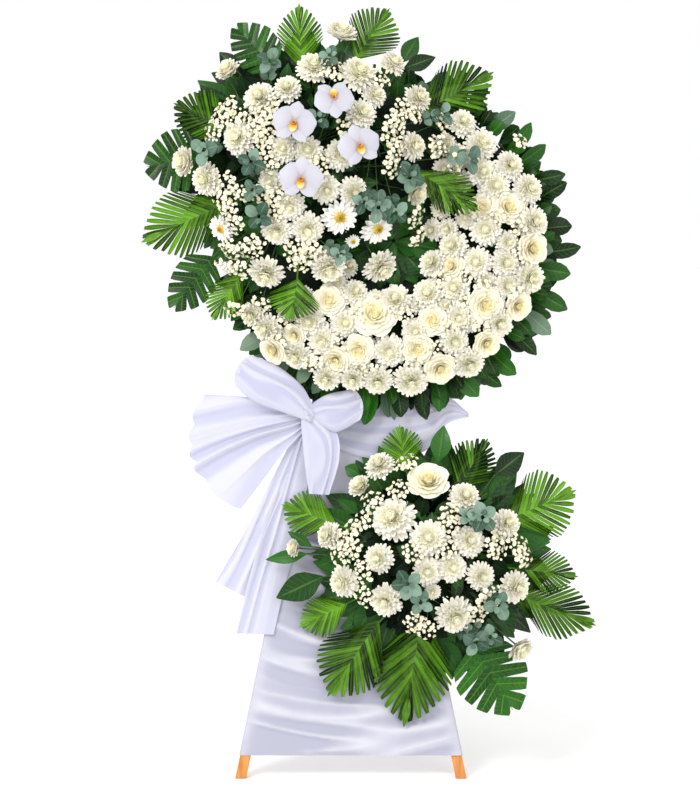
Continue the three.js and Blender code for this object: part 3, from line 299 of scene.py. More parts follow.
# Lattices
class Piece:
    """Gathers lattices of points into one mesh of several materials."""

    def __init__(self, node, place):
        self.node = node
        self.place = place
        self.points = []
        self.shades = []
        self.faces = []
        self.looks = []
        self.names = []
        self.count = 0
        self.random = random.Random(node)

    def draw(self, low, high):
        return self.random.uniform(low, high)

    def lattice(self, grid, look, tone=None, depth=None, wrap=False):
        """Adds a lattice of rows and columns; a wrapped one closes on itself across its columns."""
        rows, columns = grid.shape[:2]
        tone = self.draw(0, 1) if tone is None else tone
        along = np.linspace(0, 1, rows)[:, None] * np.ones(columns)
        across = np.ones(rows)[:, None] * np.linspace(0, 1, columns)
        depth = along if depth is None else depth * np.ones((rows, columns))
        shade = np.stack((along, across, np.full((rows, columns), tone), depth), -1)
        at = np.arange(rows * columns).reshape(rows, columns) + self.count
        if wrap:
            at = np.concatenate((at, at[:, :1]), 1)
        quads = np.stack((at[:-1, :-1], at[:-1, 1:], at[1:, 1:], at[1:, :-1]), -1).reshape(-1, 4)
        if look not in self.names:
            self.names.append(look)
        self.points.append(grid.reshape(-1, 3))
        self.shades.append(shade.reshape(-1, 4))
        self.faces.append(quads)
        self.looks.append(np.full(len(quads), self.names.index(look)))
        self.count += rows * columns

    def finish(self, smooth=True):
        """Makes the object, in metres, in the place of its node."""
        place = np.array(self.place)
        points = np.concatenate(self.points) @ place[:3, :3].T + place[:3, 3]
        mesh = bpy.data.meshes.new("fine_" + self.node)
        mesh.from_pydata(points.tolist(), [], np.concatenate(self.faces).tolist())
        for name in self.names:
            mesh.materials.append(LOOKS[name])
        mesh.polygons.foreach_set("material_index", np.concatenate(self.looks).astype(np.int32))
        mesh.polygons.foreach_set("use_smooth", np.full(len(mesh.polygons), smooth))
        shade = mesh.color_attributes.new("shade", "FLOAT_COLOR", "POINT")
        shade.data.foreach_set("color", np.concatenate(self.shades).astype(np.float32).ravel())
        mesh.update()
        piece = bpy.data.objects.new("fine_" + self.node, mesh)
        bpy.context.scene.collection.objects.link(piece)
        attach(piece, "root")
        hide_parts(self.node)
        return piece


def blade(length, width, outline, rise=0.0, bend=0.0, cup=0.0, fold=0.0, columns=3, twist=0.0):
    """A petal or leaf along +Y, with half widths given as shares of its width from stalk to tip.

    It starts at an angle of rise to the flat and bends on by bend; its sides lift by a round cup or a sharp fold.
    """
    rows = len(outline)
    share = np.linspace(0, 1, rows)
    angle = np.radians(rise + bend * share)
    step = length / (rows - 1)
    run = np.concatenate(([0], np.cumsum(np.cos((angle[1:] + angle[:-1]) / 2)))) * step
    climb = np.concatenate(([0], np.cumsum(np.sin((angle[1:] + angle[:-1]) / 2)))) * step
    aside = np.linspace(-1, 1, columns)[None, :]
    half = width / 2 * np.array(outline)[:, None]
    lift = half * (cup * aside ** 2 + fold * np.abs(aside) + twist * aside)
    y = run[:, None] - np.sin(angle)[:, None] * lift
    z = climb[:, None] + np.cos(angle)[:, None] * lift
    return np.stack((half * aside, y, z), -1)


def basis(out, spin=0.0):
    """Columns: across, up and out of a head that faces some way and is turned about its own axis."""
    z = unit(np.asarray(out, float))
    x = unit(np.cross((0, 1, 0), z))
    y = np.cross(z, x)
    c, s = math.cos(spin), math.sin(spin)
    return np.column_stack((c * x + s * y, c * y - s * x, z))


def laid(grid, root, aim, out):
    """A blade moved so that it starts at root, runs along aim and shows its face towards out."""
    y = unit(aim)
    x = unit(np.cross(y, out))
    z = np.cross(x, y)
    return grid @ np.column_stack((x, y, z)).T + root


def turned(grid, degrees):
    c, s = math.cos(math.radians(degrees)), math.sin(math.radians(degrees))
    return grid @ np.array(((c, s, 0), (-s, c, 0), (0, 0, 1)))


def tube(piece, path, radii, look, sides=5, tone=0.5):
    """A round stem along a path."""
    path = np.array(path, float)
    radii = np.broadcast_to(radii, len(path))
    ends = np.gradient(path, axis=0)
    rings = []
    for point, along, radius in zip(path, ends, radii):
        along = unit(along)
        side = unit(np.cross(along, (0.31, 0.27, 0.91)))
        up = np.cross(along, side)
        turn = np.linspace(0, 2 * math.pi, sides, endpoint=False)[:, None]
        rings.append(point + radius * (np.cos(turn) * side + np.sin(turn) * up))
    piece.lattice(np.array(rings), look, tone, wrap=True)


def arc(start, end, sag, steps=5):
    """Points from start to end along a bow that stands off by sag."""
    share = np.linspace(0, 1, steps)[:, None]
    return start + (end - start) * share + np.asarray(sag) * 4 * share * (1 - share)


# Blooms
SPOON = (0.42, 0.7, 0.94, 1.0, 0.86, 0.4)
QUILL = (0.34, 0.6, 0.9, 1.0, 0.8, 0.2)
TEPAL = (0.2, 0.62, 0.92, 1.0, 0.93, 0.7, 0.1)
BROAD = (0.16, 0.72, 1.08, 1.16, 1.05, 0.8, 0.14)
MUM_RINGS = (
    (20, -16, 1.0, 0.04, 16), (20, 2, 0.95, 0.05, 20), (18, 18, 0.85, 0.06, 24), (16, 34, 0.72, 0.06, 28),
    (13, 50, 0.57, 0.06, 30), (11, 62, 0.44, 0.05, 26), (9, 76, 0.3, 0.03, 16),
)
DAISY_RINGS = ((17, -4, 0.98, 0.1, 4), (15, 9, 0.9, 0.1, 4))
ROSE_RINGS = (
    (3, 80, 0.03, 0.1, 0.62, 0.0), (3, 72, 0.06, 0.2, 0.66, 0.02), (4, 60, 0.09, 0.33, 0.66, 0.05),
    (5, 52, 0.12, 0.48, 0.62, 0.07), (5, 50, 0.15, 0.65, 0.54, 0.1), (6, 46, 0.17, 0.83, 0.42, 0.13),
    (6, 44, 0.18, 0.98, 0.26, 0.14),
)
BELL_RINGS = ((15, 4, 1.08, 0.1, 40), (14, 22, 1.02, 0.1, 34), (12, 40, 0.9, 0.08, 26), (10, 58, 0.72, 0.06, 16))


class Head:
    """A flower head in its place: lattices made round +Z are turned to face the way the head does."""

    def __init__(self, piece, at, facing, across):
        self.piece = piece
        self.at = at
        self.frame = basis(facing, piece.draw(0, 2 * math.pi))
        self.radius = across / 2

    def add(self, grid, look, tone=None, depth=None, wrap=False):
        reach = np.hypot(grid[..., 0], grid[..., 1]) / self.radius if depth is None else depth
        self.piece.lattice(grid @ self.frame.T + self.at, look, tone, reach, wrap)

    def petals(self, rings, outline, look, width):
        """Rings of narrow petals: count, rise in degrees, length, start and bend, as shares of the radius."""
        draw = self.piece.draw
        for number, (count, rise, length, start, bend) in enumerate(rings):
            offset = draw(0, 360)
            for k in range(count):
                size = self.radius * (length - start) * draw(0.9, 1.05)
                grid = blade(size, self.radius * width, outline, rise + draw(-5, 5), bend + draw(-8, 8), 0.5)
                grid = grid + vec(0, self.radius * start, self.radius * 0.07 * number)
                self.add(turned(grid, offset + k * 360 / count + draw(-4, 4)), look)

    def cups(self, rings, look, ruffle):
        """Rings of broad cupped petals: count, half span in degrees, foot, top, height and curl of the rim."""
        draw = self.piece.draw
        up = np.linspace(0, 1, 6)[:, None]
        aside = np.linspace(-1, 1, 7)[None, :]
        for number, (count, half_span, foot, top, height, curl) in enumerate(rings):
            offset = draw(0, 360)
            for k in range(count):
                tip = 1 - 0.2 * aside ** 2 - 0.16 * aside ** 6
                rise = up * tip
                swell = foot + (top - foot) * rise ** 0.8 + curl * rise ** 5 + 0.05 * aside * rise
                swell = swell + ruffle * rise ** 3 * np.sin(aside * 5 + draw(0, 6))
                angle = np.radians(offset + k * 360 / count + draw(-6, 6) + half_span * aside * (0.55 + 0.45 * up))
                rim = 1 - 0.35 * curl * rise ** 6
                z = height * draw(0.94, 1.06) * rise * rim
                grid = np.stack((swell * np.cos(angle), swell * np.sin(angle), z * np.ones_like(angle)), -1)
                self.add(grid * self.radius, look)

    def dome(self, radius, height, look, rows=5, columns=10):
        share = np.linspace(0.06, 1, rows)[:, None] * np.ones(columns)
        angle = np.linspace(0, 2 * math.pi, columns, endpoint=False)[None, :]
        z = height + radius * 0.6 * (1 - share ** 2)
        grid = np.stack((radius * share * np.cos(angle), radius * share * np.sin(angle), z), -1)
        self.add(grid * self.radius, look, depth=share, wrap=True)

    def florets(self, radius, height, count, look):
        """Small upright florets in the turning pattern of a flower's eye."""
        for k in range(count):
            share = math.sqrt((k + 0.5) / count)
            grid = blade(self.radius * 0.16, self.radius * 0.09, (0.7, 1.0, 0.3), 90 - 34 * share, 0, 0.6)
            root = vec(0, radius * share, height + radius * 0.6 * (1 - share ** 2) - 0.04) * self.radius
            self.add(turned(grid + root, k * 137.5), look, depth=share * 0.8)

    def calyx(self):
        self.dome(0.2, -0.12, "stem")


def mum(head):
    head.petals(MUM_RINGS, SPOON, "mum", 0.3)
    head.dome(0.24, 0.58, "mum")
    head.florets(0.2, 0.62, 24, "mum")


def daisy(head):
    head.petals(DAISY_RINGS, QUILL, "daisy", 0.3)
    head.dome(0.24, 0.12, "disc")
    head.florets(0.24, 0.14, 26, "disc")


def rose(head):
    head.cups(ROSE_RINGS, "rose", 0.02)
    head.dome(0.22, 0.34, "rose")
    head.calyx()


def bell(head):
    head.petals(BELL_RINGS, SPOON, "bell", 0.44)
    head.florets(0.18, 0.44, 12, "bell")
    head.calyx()


BLOOMS = {"mum": mum, "daisy": daisy, "rose": rose, "bell": bell}
BLOOM_FULLNESS = 1.19


def on_dome(hub, x, y, lift=0.0):
    """Where a bloom of a spray sits on the dome over its mound, and which way it faces."""
    away = vec(x - hub["x"], y - hub["y"], 0)
    distance = np.linalg.norm(away)
    share = min(distance / hub["reach"], 1.2)
    height = hub["low"] + hub["rise"] * max(1 - share * share, -0.05) + lift
    lean = math.radians(58) * min(share, 1)
    facing = OUT * math.cos(lean) + (away / max(distance, 1e-6)) * math.sin(lean)
    return vec(x, y, height), facing


def on_ring(x, y):
    """Where a bloom of the ring sits on its rounded front."""
    distance = math.hypot(x, y)
    share = min(max((distance - 190) / 120, -1), 1)
    lean = math.radians(46) * share
    facing = OUT * math.cos(lean) + vec(x, y, 0) / distance * math.sin(lean)
    return vec(x, y, RING_FRONT + 24 + 14 * (1 - share * share)), facing


def bloom(piece, seat, foot, across, kind="mum"):
    """A flower on a stem that runs low under the foliage before it rises to the head."""
    at, facing = seat
    BLOOMS[kind](Head(piece, at - facing * 0.06 * across, facing, across * BLOOM_FULLNESS))
    low = between(foot, at, 0.78) - facing * 30
    tube(piece, [foot, low, at - facing * 8, at + facing * 2], (1.6, 1.6, 1.8, 2.2), "stem", 4)


def bud_cluster(piece, seat, root, spread=23, count=18):
    """Small round buds on thin forked stalks."""
    at, facing = seat
    turn = basis(facing, piece.draw(0, 6))
    fork = at - facing * 16
    tube(piece, [root, fork], (1.4, 1.0), "stem", 4)
    profile = ((0.3, -1.0), (0.85, -0.5), (1.0, 0.1), (0.7, 0.72), (0.16, 1.0))
    angle = np.linspace(0, 2 * math.pi, 6, endpoint=False)
    for k in range(count):
        reach = spread * math.sqrt((k + 0.6) / count)
        aside = turn @ vec(reach * math.cos(2.4 * k), reach * math.sin(2.4 * k), piece.draw(4, 15))
        radius = piece.draw(2.8, 4.2)
        tip = at + aside
        own = basis(unit(tip - fork), piece.draw(0, 6))
        if k % 3:
            for petal in range(5):
                grid = blade(radius * 1.5, radius * 1.5, (0.4, 1.0, 0.7), 34 + piece.draw(-12, 12), -26, 0.4)
                piece.lattice(turned(grid, petal * 72) @ own.T + tip, "bud")
            radius *= 0.5
        grid = np.array([[(r * math.cos(a), r * math.sin(a), h) for a in angle] for r, h in profile]) * radius
        piece.lattice(grid @ own.T + tip, "bud", wrap=True)
        tube(piece, [fork, tip - own[:, 2] * radius * 0.8], (0.6, 0.5), "stem", 3)


# Leaves
OVAL = (0.08, 0.46, 0.84, 1.0, 0.94, 0.72, 0.4, 0.05)
ROUND = (0.2, 0.66, 0.96, 1.0, 0.92, 0.68, 0.16)
PADDLE = (0.07, 0.34, 0.64, 0.88, 1.0, 0.96, 0.7, 0.1)


def leaf(piece, root, tip, width, look, out=OUT, arch=18, fold=0.22, outline=OVAL, tone=None):
    """A pointed leaf from its root to its tip, arched along its length."""
    aim = tip - root
    length = np.linalg.norm(aim)
    grid = blade(length * 1.02, width, outline, arch, -2 * arch, 0.0, fold, 5, piece.draw(-0.12, 0.12))
    piece.lattice(laid(grid, root, aim, out), look, tone)


def greenery_height(hub, level, droop):
    """Height of a frond's rib, which falls away from its mound."""
    def height(point, lift=0.0):
        distance = math.hypot(point[0] - hub["x"], point[1] - hub["y"])
        return vec(point[0], point[1], level - droop * (distance / 300) ** 2 + lift)
    return height


def frond_rib(piece, hub, base, tip, level, droop, look):
    """The stalk and rib of a frond, and what its blades need: a height rule and its two directions."""
    height = greenery_height(hub, level, droop)
    start, end = vec(*base, 0), vec(*tip, 0)
    away = unit(start - vec(hub["x"], hub["y"], 0))
    wall = vec(hub["x"], hub["y"], level) + away * (hub["radius"] - 10)
    path = [wall, height(between(wall, start, 0.55))] + [height(between(start, end, s)) for s in (0, 0.3, 0.6, 0.95)]
    tube(piece, path, (2.2, 2.2, 1.9, 1.5, 1.1, 0.5), look)
    forward = unit(end - start)
    return height, start, end, forward, np.cross(OUT, forward)


def cut_leaf(piece, shape, look, blades, foot, last, slit, joined, fold, ragged, taper, full, spread):
    """A leaf parted into blades on both sides of its rib, which end on a pointed oval.

    The oval starts at a share, foot, of the way along the rib, and the last blades leave the rib at another. Each
    slit takes a share of a blade's width, and closes at a share of the way in.
    """
    hub, base, tip, half, level, droop = shape
    height, start, end, forward, aside = frond_rib(piece, hub, base, tip, level, droop, look)
    start = start + (start - end) * 0.2
    span = np.linalg.norm(end - start)
    frond_tone = piece.draw(0.25, 0.75)
    steps = np.linspace(0, 1, 9)
    sides = np.linspace(-1, 1, 5)
    for hand in (1, -1):
        for k in range(blades):
            lift, reach = piece.draw(-ragged, ragged), piece.draw(0.97, 1.04)
            tilt = piece.draw(-0.25, 0.25)
            rows = []
            for s in steps:
                open_share = 1 - slit * smooth_share(s, joined, joined + 0.3)
                open_share *= 1 - taper * (max(s - 0.55, 0) / 0.45) ** 2
                row = []
                for c in sides:
                    share = (k + 0.5 + 0.5 * c * open_share) / blades
                    bow = math.sin(math.pi * (0.25 + 0.75 * share)) ** full
                    root = start + (end - start) * last * share
                    rim = start + forward * span * between(foot, 1.03, share) + aside * hand * half * bow
                    trough = fold * span / blades * (abs(c) - 0.5 + tilt * c) * min(4 * s, 1)
                    row.append(height(between(root, rim, s * reach), 2 + trough + (lift - 3) * s * s + 3 * s))
                rows.append(row)
            tone = min(max(frond_tone + piece.draw(-spread, spread), 0), 1)
            piece.lattice(np.array(rows), look, tone)
    return height, start, end, frond_tone


def palm_frond(piece, *shape):
    """A feather palm of narrow folded leaflets, one of them at its tip."""
    height, start, end, tone = cut_leaf(piece, shape, "palm", 12, 0.36, 0.7, 0.1, 0.12, 0.4, 6, 0.55, 0.85, 0.38)
    root, tip = height(between(start, end, 0.78), 3), height(between(start, end, 1.05), 2)
    leaf(piece, root, tip, 0.26 * np.linalg.norm(tip - root), "palm", OUT, 6, 0.3, OVAL, tone)


def split_leaf(piece, *shape):
    """A broad glossy leaf whose slits stop short of its rib."""
    cut_leaf(piece, shape, "split", 5, 0.14, 0.82, 0.13, 0.34, 0.1, 3, 0.25, 0.72, 0.2)


def whorl(piece, at, facing, leaves, length, spin, look="eucalyptus"):
    """Round leaves about the end of a sprig, and a smaller pair inside them."""
    turn = basis(facing, spin)
    for ring, (count, size, rise) in enumerate(((leaves, 1.0, 14), (3, 0.55, 46))):
        for k in range(count):
            long = length * size * piece.draw(0.88, 1.08)
            grid = blade(long, long * 0.86, ROUND, rise + piece.draw(-8, 8), -16, 0.22, 0.08, 5)
            grid = turned(grid + vec(0, 4, ring * 2), k * 360 / count + ring * 50 + piece.draw(-10, 10))
            piece.lattice(grid @ turn.T + at, look)


def eucalyptus(piece, hub, degrees, distance, crown_out, crown_lift, sprigs):
    """A stem with side stems that each carry pairs of round leaves and end in a whorl."""
    out = heading(degrees)
    knuckle = vec(hub["x"], hub["y"], hub["front"] + 12) + out * distance
    crown, _ = on_dome(hub, hub["x"] + out[0] * crown_out, hub["y"] + out[1] * crown_out, 0.1 * crown_lift - 12)
    tube(piece, [knuckle - OUT * 30, knuckle, crown], (2.6, 2.4, 2.0), "stem")
    for x, y, leaves, length, lift in sprigs:
        at, facing = on_dome(hub, x, y, lift)
        flat = unit(OUT + facing)
        path = arc(crown, at, OUT * -30)
        tube(piece, path, (1.8, 1.6, 1.4, 1.2, 1.0), "stem", 4)
        whorl(piece, at, flat, leaves, length, x)
        along = unit(path[-1] - path[-2])
        for back in (22, 40):
            root = at - along * back
            for hand in (1, -1):
                aim = unit(np.cross(along, OUT) * hand + along * 0.5 + OUT * 0.2)
                size = length * piece.draw(0.7, 0.9)
                grid = blade(size, size * 0.86, ROUND, 8, -14, 0.22, 0.08, 5)
                piece.lattice(laid(grid, root, aim, unit(OUT + facing * 0.4)), "eucalyptus")


# Lists of what grows where, each [right, up, width, kind]
RING_STRETCHES = {
    "ring_blooms_upper_right": ((8, 62), (
        (138, 234, 52), (176, 192, 60), (232, 148, 56), (178, 136, 56), (202, 108, 60), (268, 102, 58),
        (178, 66, 46, "rose"), (230, 66, 56, "rose"), (278, 36, 62), (184, 22, 60), (80, 22, 42), (110, 24, 38),
        (146, 46, 42),
    )),
    "ring_blooms_right": ((-46, 6), (
        (120, -10, 56), (276, -16, 56, "rose"), (228, -4, 44), (224, -44, 56), (166, -44, 58),
        (116, -52, 46, "rose"), (80, -46, 56), (270, -74, 62), (226, -90, 50), (70, -108, 60), (122, -96, 58),
        (184, -128, 62, "rose"), (248, -130, 48, "rose"), (130, -154, 56), (210, -164, 56),
    )),
    "ring_blooms_bottom": ((-102, -48), (
        (80, -160, 52, "rose"), (4, -120, 62), (-38, -148, 74, "rose"), (44, -182, 50), (122, -200, 56),
        (186, -204, 48, "rose"), (48, -216, 54, "rose"), (-8, -220, 62), (150, -244, 58), (94, -254, 54, "rose"),
        (36, -278, 64), (-30, -278, 56), (-80, -274, 50), (-68, -218, 54, "rose"),
    )),
    "ring_blooms_lower_left": ((-150, -104), (
        (-132, -272, 54), (-114, -238, 50, "rose"), (-140, -198, 58), (-96, -164, 56), (-166, -160, 60),
        (-128, -120, 52, "rose"), (-76, -104, 50), (-196, -188, 40, "rose"), (-252, -174, 56), (-280, -148, 48),
        (-238, -218, 48, "rose"), (-192, -228, 56),
    )),
}
RING_BUDS = {
    "ring_blooms_upper_right": ((110, 84), (140, 90), (132, 172), (246, 190), (150, 60), (206, 44)),
    "ring_blooms_right": ((240, 24), (246, -28), (242, -104), (150, -72), (180, -92), (100, -78), (144, -122)),
    "ring_blooms_bottom": ((172, -174), (110, -176), (40, -240), (26, -152), (-48, -250), (84, -212)),
    "ring_blooms_lower_left": ((-160, -240), (-110, -200), (-214, -160), (-220, -196), (-150, -232), (-70, -150)),
}
UPPER_BUNCHES = {
    "upper_blooms_top": ((70, 42), (
        (-104, 408, 56, "bell"), (-158, 340, 62), (-70, 328, 70), (-210, 298, 52), (-170, 174, 56), (-64, 248, 56),
        (-38, 286, 46), (-2, 352, 50),
    ), ((-122, 326), (-242, 258), (-248, 242), (-146, 146), (-94, 214), (-30, 316))),
    "upper_blooms_left": ((172, 42), (
        (-264, 280, 62), (-326, 334, 48, "bell"), (-306, 200, 62), (-410, 156, 56, "bell"), (-370, 120, 60),
        (-216, 178, 52), (-244, 114, 46), (-342, 22, 50, "daisy"),
    ), (
        (-324, 258), (-310, 240), (-350, 212), (-336, 240), (-272, 236), (-264, 216), (-254, 200), (-250, 180),
        (-248, 150), (-322, 110), (-306, 92), (-322, 62), (-334, 80), (-310, 38),
    )),
    "upper_blooms_bottom": ((256, 42), (
        (-204, 66, 54), (-170, 22, 60), (-230, 18, 58), (-252, -64, 64), (-130, -52, 66), (-106, 44, 68, "daisy"),
        (-80, -4, 28, "daisy"),
    ), (
        (-256, 86), (-230, 84), (-236, 58), (-320, -14), (-290, -14), (-272, -6), (-326, -48), (-302, -54),
        (-196, -14), (-176, -22), (-160, -16), (-186, -42), (-310, -130), (-262, -122),
    )),
    "upper_blooms_right": ((-16, 42), (
        (-106, 166, 56), (-134, 98, 54), (-80, 94, 56), (-32, 22, 64, "daisy"), (48, 282, 54), (38, 186, 54),
        (-26, -52, 64), (42, 94, 48, "bell"),
    ), (
        (8, 246), (20, 258), (36, 250), (0, 230), (-12, 206), (0, 176), (-10, 146), (74, 182), (92, 190),
        (88, 232), (124, 166), (124, 138), (108, 128), (44, 12), (38, 48),
    )),
}
LOWER_BUNCHES = {
    "lower_blooms_left": ((165, 34), (
        (-90, 188, 56), (-128, 146, 44, "bell"), (-64, 84, 80), (-192, 50, 50), (-92, 6, 54), (-162, -42, 58),
        (-78, -78, 60), (-258, 24, 36, "bell"),
    ), ((-156, 36), (-142, 54), (-166, 12), (-120, 76), (-120, -20), (-116, -68), (-140, 20), (-52, 136), (-100, 116))),
    "lower_blooms_right": ((24, 34), (
        (6, 156, 68, "rose"), (78, 126, 58), (6, 46, 68), (86, 40, 58), (160, 74, 56), (52, -12, 54),
        (110, -30, 52), (178, -52, 60),
    ), ((44, 74), (40, 24), (136, 22), (188, 10), (-34, 188), (52, 92), (138, 40), (176, 30))),
    "lower_blooms_bottom": ((266, 34), (
        (186, -174, 52, "bell"), (58, -108, 68), (4, -20, 54), (14, -60, 30),
    ), ((-20, -118), (114, -82), (128, -68), (2, -130), (-24, 20), (98, -100))),
}
ORCHIDS = ((-196, 226, 92, 0.2), (-118, 276, 84, 3.0), (-68, 182, 90, -0.3), (-182, 116, 92, 0.1))
UPPER_EUCALYPTUS = {
    "upper_eucalyptus_top": (138, 62, 112, 44, (
        (-244, 352, 4, 28, 38), (-374, 176, 3, 28, 38), (-126, 364, 3, 22, 30), (-150, 236, 4, 24, 36),
    )),
    "upper_eucalyptus_left": (226, 62, 112, 44, (
        (-280, 150, 4, 28, 38), (-266, 44, 4, 28, 38), (-278, 96, 3, 22, 30), (-104, -30, 4, 22, 34),
    )),
    "upper_eucalyptus_right": (24, 70, 150, 30, (
        (32, 122, 5, 28, 38), (-30, 62, 5, 28, 38), (150, 160, 3, 28, 38), (-60, 72, 4, 22, 36), (4, 52, 4, 24, 36),
        (98, 250, 3, 22, 30),
    )),
}
LOWER_EUCALYPTUS = {
    "lower_eucalyptus_right": (88, 62, 96, 44, (
        (112, 88, 5, 28, 38), (144, -86, 3, 28, 38), (84, 90, 4, 20, 34),
    )),
    "lower_eucalyptus_left": (214, 48, 70, 44, (
        (-36, -44, 5, 28, 38), (100, -160, 4, 28, 38), (-10, -80, 4, 22, 34), (128, -150, 3, 24, 36),
    )),
}
UPPER_PALMS = {
    "upper_palm_left_high": ((-342, 226), (-434, 274), 58, 69, 22),
    "upper_palm_left_low": ((-356, 66), (-496, 2), 66, 69, 22),
    "upper_palm_bottom_left": ((-312, -78), (-360, -154), 40, 76, 12),
    "upper_palm_bottom": ((-192, -90), (-206, -158), 52, 76, -62),
    "upper_palm_top": ((-184, 358), (-188, 470), 46, 69, 22),
    "upper_palm_top_right": ((-66, 378), (-10, 462), 55, 76, 22),
    "upper_palm_right": ((74, 266), (194, 334), 62, 76, 8),
    "upper_palm_inner": ((68, 124), (164, 60), 44, 76, -62),
}
UPPER_SPLIT_LEAVES = {
    "upper_split_leaf_left": ((-396, 166), (-498, 148), 62, 82, 22),
    "upper_split_leaf_low": ((-376, -48), (-442, -138), 46, 69, 12),
    "upper_split_leaf_top": ((-250, 360), (-318, 432), 48, 76, 22),
}
LOWER_PALMS = {
    "lower_palm_top": ((-40, 190), (-50, 266), 42, 30, 10),
    "lower_palm_top_right": ((72, 150), (124, 238), 50, 37, 10),
    "lower_palm_right_high": ((186, 88), (298, 136), 70, 30, 10),
    "lower_palm_right": ((200, -20), (302, -34), 44, 37, 10),
    "lower_palm_right_low": ((202, -78), (336, -130), 56, 30, 10),
    "lower_palm_bottom": ((-10, -138), (-40, -326), 80, 30, 10),
    "lower_palm_bottom_left": ((-108, -146), (-190, -268), 70, 37, 10),
    "lower_palm_left_low": ((-170, -96), (-248, -134), 43, 30, 10),
    "lower_palm_left_high": ((-194, 76), (-282, 108), 49, 37, 10),
}
LOWER_SPLIT_LEAVES = {"lower_split_leaf": ((110, -194), (180, -308), 74, 44, 10)}
UPPER_LONG_LEAVES = (
    ((-310, 338), (-346, 376), 34), ((18, 356), (50, 406), 36), ((22, 344), (84, 366), 34),
)
LOWER_LONG_LEAVES = (
    ((26, 196), (38, 268), 42), ((140, 170), (198, 214), 48), ((-204, -34), (-296, -76), 58),
    ((-132, 172), (-160, 186), 30), ((-236, 12), (-318, 0), 28), ((-226, 26), (-274, 56), 22),
)


# Plants of the ring
def crowd_in(blooms, span, count=260):
    """Small blooms for the gaps that are left between a stretch's blooms."""
    taken = [(right, up, across) for right, up, across, *_ in blooms]
    added = []
    for k in range(count):
        spot = heading(between(span[0], span[1], (k * 0.618) % 1)) * between(100, 288, ((k * 0.7549) % 1) ** 0.7)
        if all(math.hypot(spot[0] - x, spot[1] - y) > 0.43 * (across + 40) for x, y, across in taken):
            taken.append((spot[0], spot[1], 40))
            added.append((spot[0], spot[1]))
    return added


def ring_bunch(node, span, blooms, buds):
    """Blooms of one stretch of the ring, over a bed of near-black leaves that are painted shade between the blooms."""
    piece = Piece(node, RING_FRAME)
    for right, up, across, *kind in blooms:
        distance = min(max(math.hypot(right, up), 110), 272)
        foot = heading(math.degrees(math.atan2(up, right))) * distance + OUT * (RING_FRONT + 2)
        bloom(piece, on_ring(right, up), foot, across, *kind)
    for right, up in crowd_in(blooms, span):
        at, facing = on_ring(right, up)
        bloom(piece, (at - facing * piece.draw(3, 9), facing), vec(right, up, RING_FRONT + 2), piece.draw(38, 46))
    for right, up in buds:
        at, facing = on_ring(right, up)
        bud_cluster(piece, (at + facing * 4, facing), vec(right, up, RING_FRONT + 3), 17, 11)
    # painted shade: near-black leaves in the gaps under the blooms
    for k in range(64):
        degrees = between(span[0] - 1, span[1] + 1, (k * 0.618) % 1)
        out = heading(degrees)
        root = out * between(104, 272, math.sqrt(piece.draw(0, 1))) + OUT * (RING_FRONT + piece.draw(4, 9))
        aim = heading(piece.draw(0, 360))
        tip = root + aim * piece.draw(40, 54) + OUT * piece.draw(2, 12)
        distance = np.linalg.norm(tip[:2])
        if 96 < distance < 292:
            leaf(piece, root, tip, piece.draw(26, 34), "painted_shade_leaf")
    piece.finish()


for stretch, (stretch_span, stretch_blooms) in RING_STRETCHES.items():
    ring_bunch(stretch, stretch_span, stretch_blooms, RING_BUDS[stretch])


def rim_twig(node, start, end, thick, spacing=8.4):
    """Leaves on a twig bent round the ring's rim: a long row, over rows that are longer where the rim is thick."""
    piece = Piece(node, RING_FRAME)
    path = [heading(between(start + 1, end - 1, s / 12)) * (RING_OUTER + 5) + OUT * 24 for s in range(13)]
    tube(piece, path, 2.6, "stem")
    count = round((end - start) / spacing)
    for reach, foot, rise, width, shift in (
        (88, 26, 6, 40, 0.25), (54 * thick, 20, -10, 38, 0.75), (44 * thick, 40, 12, 32, 0.0),
        (50 * thick, 10, -8, 40, 0.5), (60 * thick, 6, -4, 40, 0.1),
    ):
        for k in range(count):
            degrees = start + (k + shift) * spacing + piece.draw(-2.5, 2.5)
            out = heading(degrees)
            turn = heading(degrees + 90)
            length = reach * piece.draw(0.82, 1.02)
            root = out * (RING_OUTER + piece.draw(-6, 4)) + OUT * foot
            tip = root + out * length + turn * length * piece.draw(-0.34, 0.34) + OUT * (rise + piece.draw(-6, 6))
            face = unit(OUT + out * piece.draw(-0.2, 0.6) + turn * piece.draw(-0.6, 0.6))
            look = "grey_leaf" if piece.draw(0, 1) < 0.1 else "rim_leaf"
            leaf(piece, root, tip, width * piece.draw(0.78, 1.0), look, face, 16, 0.26, PADDLE)
    piece.finish()


for number, stretch_of_rim in enumerate(((-168, -92, 1.45), (-90, -24, 1.2), (-22, 44, 1.0), (46, 112, 1.0))):
    rim_twig(f"ring_leaves_{number + 1}", *stretch_of_rim)


def middle_leaves():
    """Dark leaves that close the middle of the ring."""
    piece = Piece("middle_leaves", RING_FRAME)
    for ring, (count, radius, length, level) in enumerate(((9, 97, 92, 2), (9, 97, 84, 6), (7, 90, 60, 10), (6, 60, 56, 6))):
        for k in range(count):
            degrees = 14 + (k + ring * 0.5) * 360 / count + piece.draw(-5, 5)
            root = heading(degrees) * radius + OUT * (RING_FRONT + level)
            tip = heading(degrees + piece.draw(-16, 16)) * (radius - length) + OUT * (RING_FRONT + level + piece.draw(-2, 6))
            leaf(piece, root, tip, 52, "dark_leaf", unit(OUT + heading(degrees + 90) * piece.draw(-0.4, 0.4)))
    piece.finish()


middle_leaves()


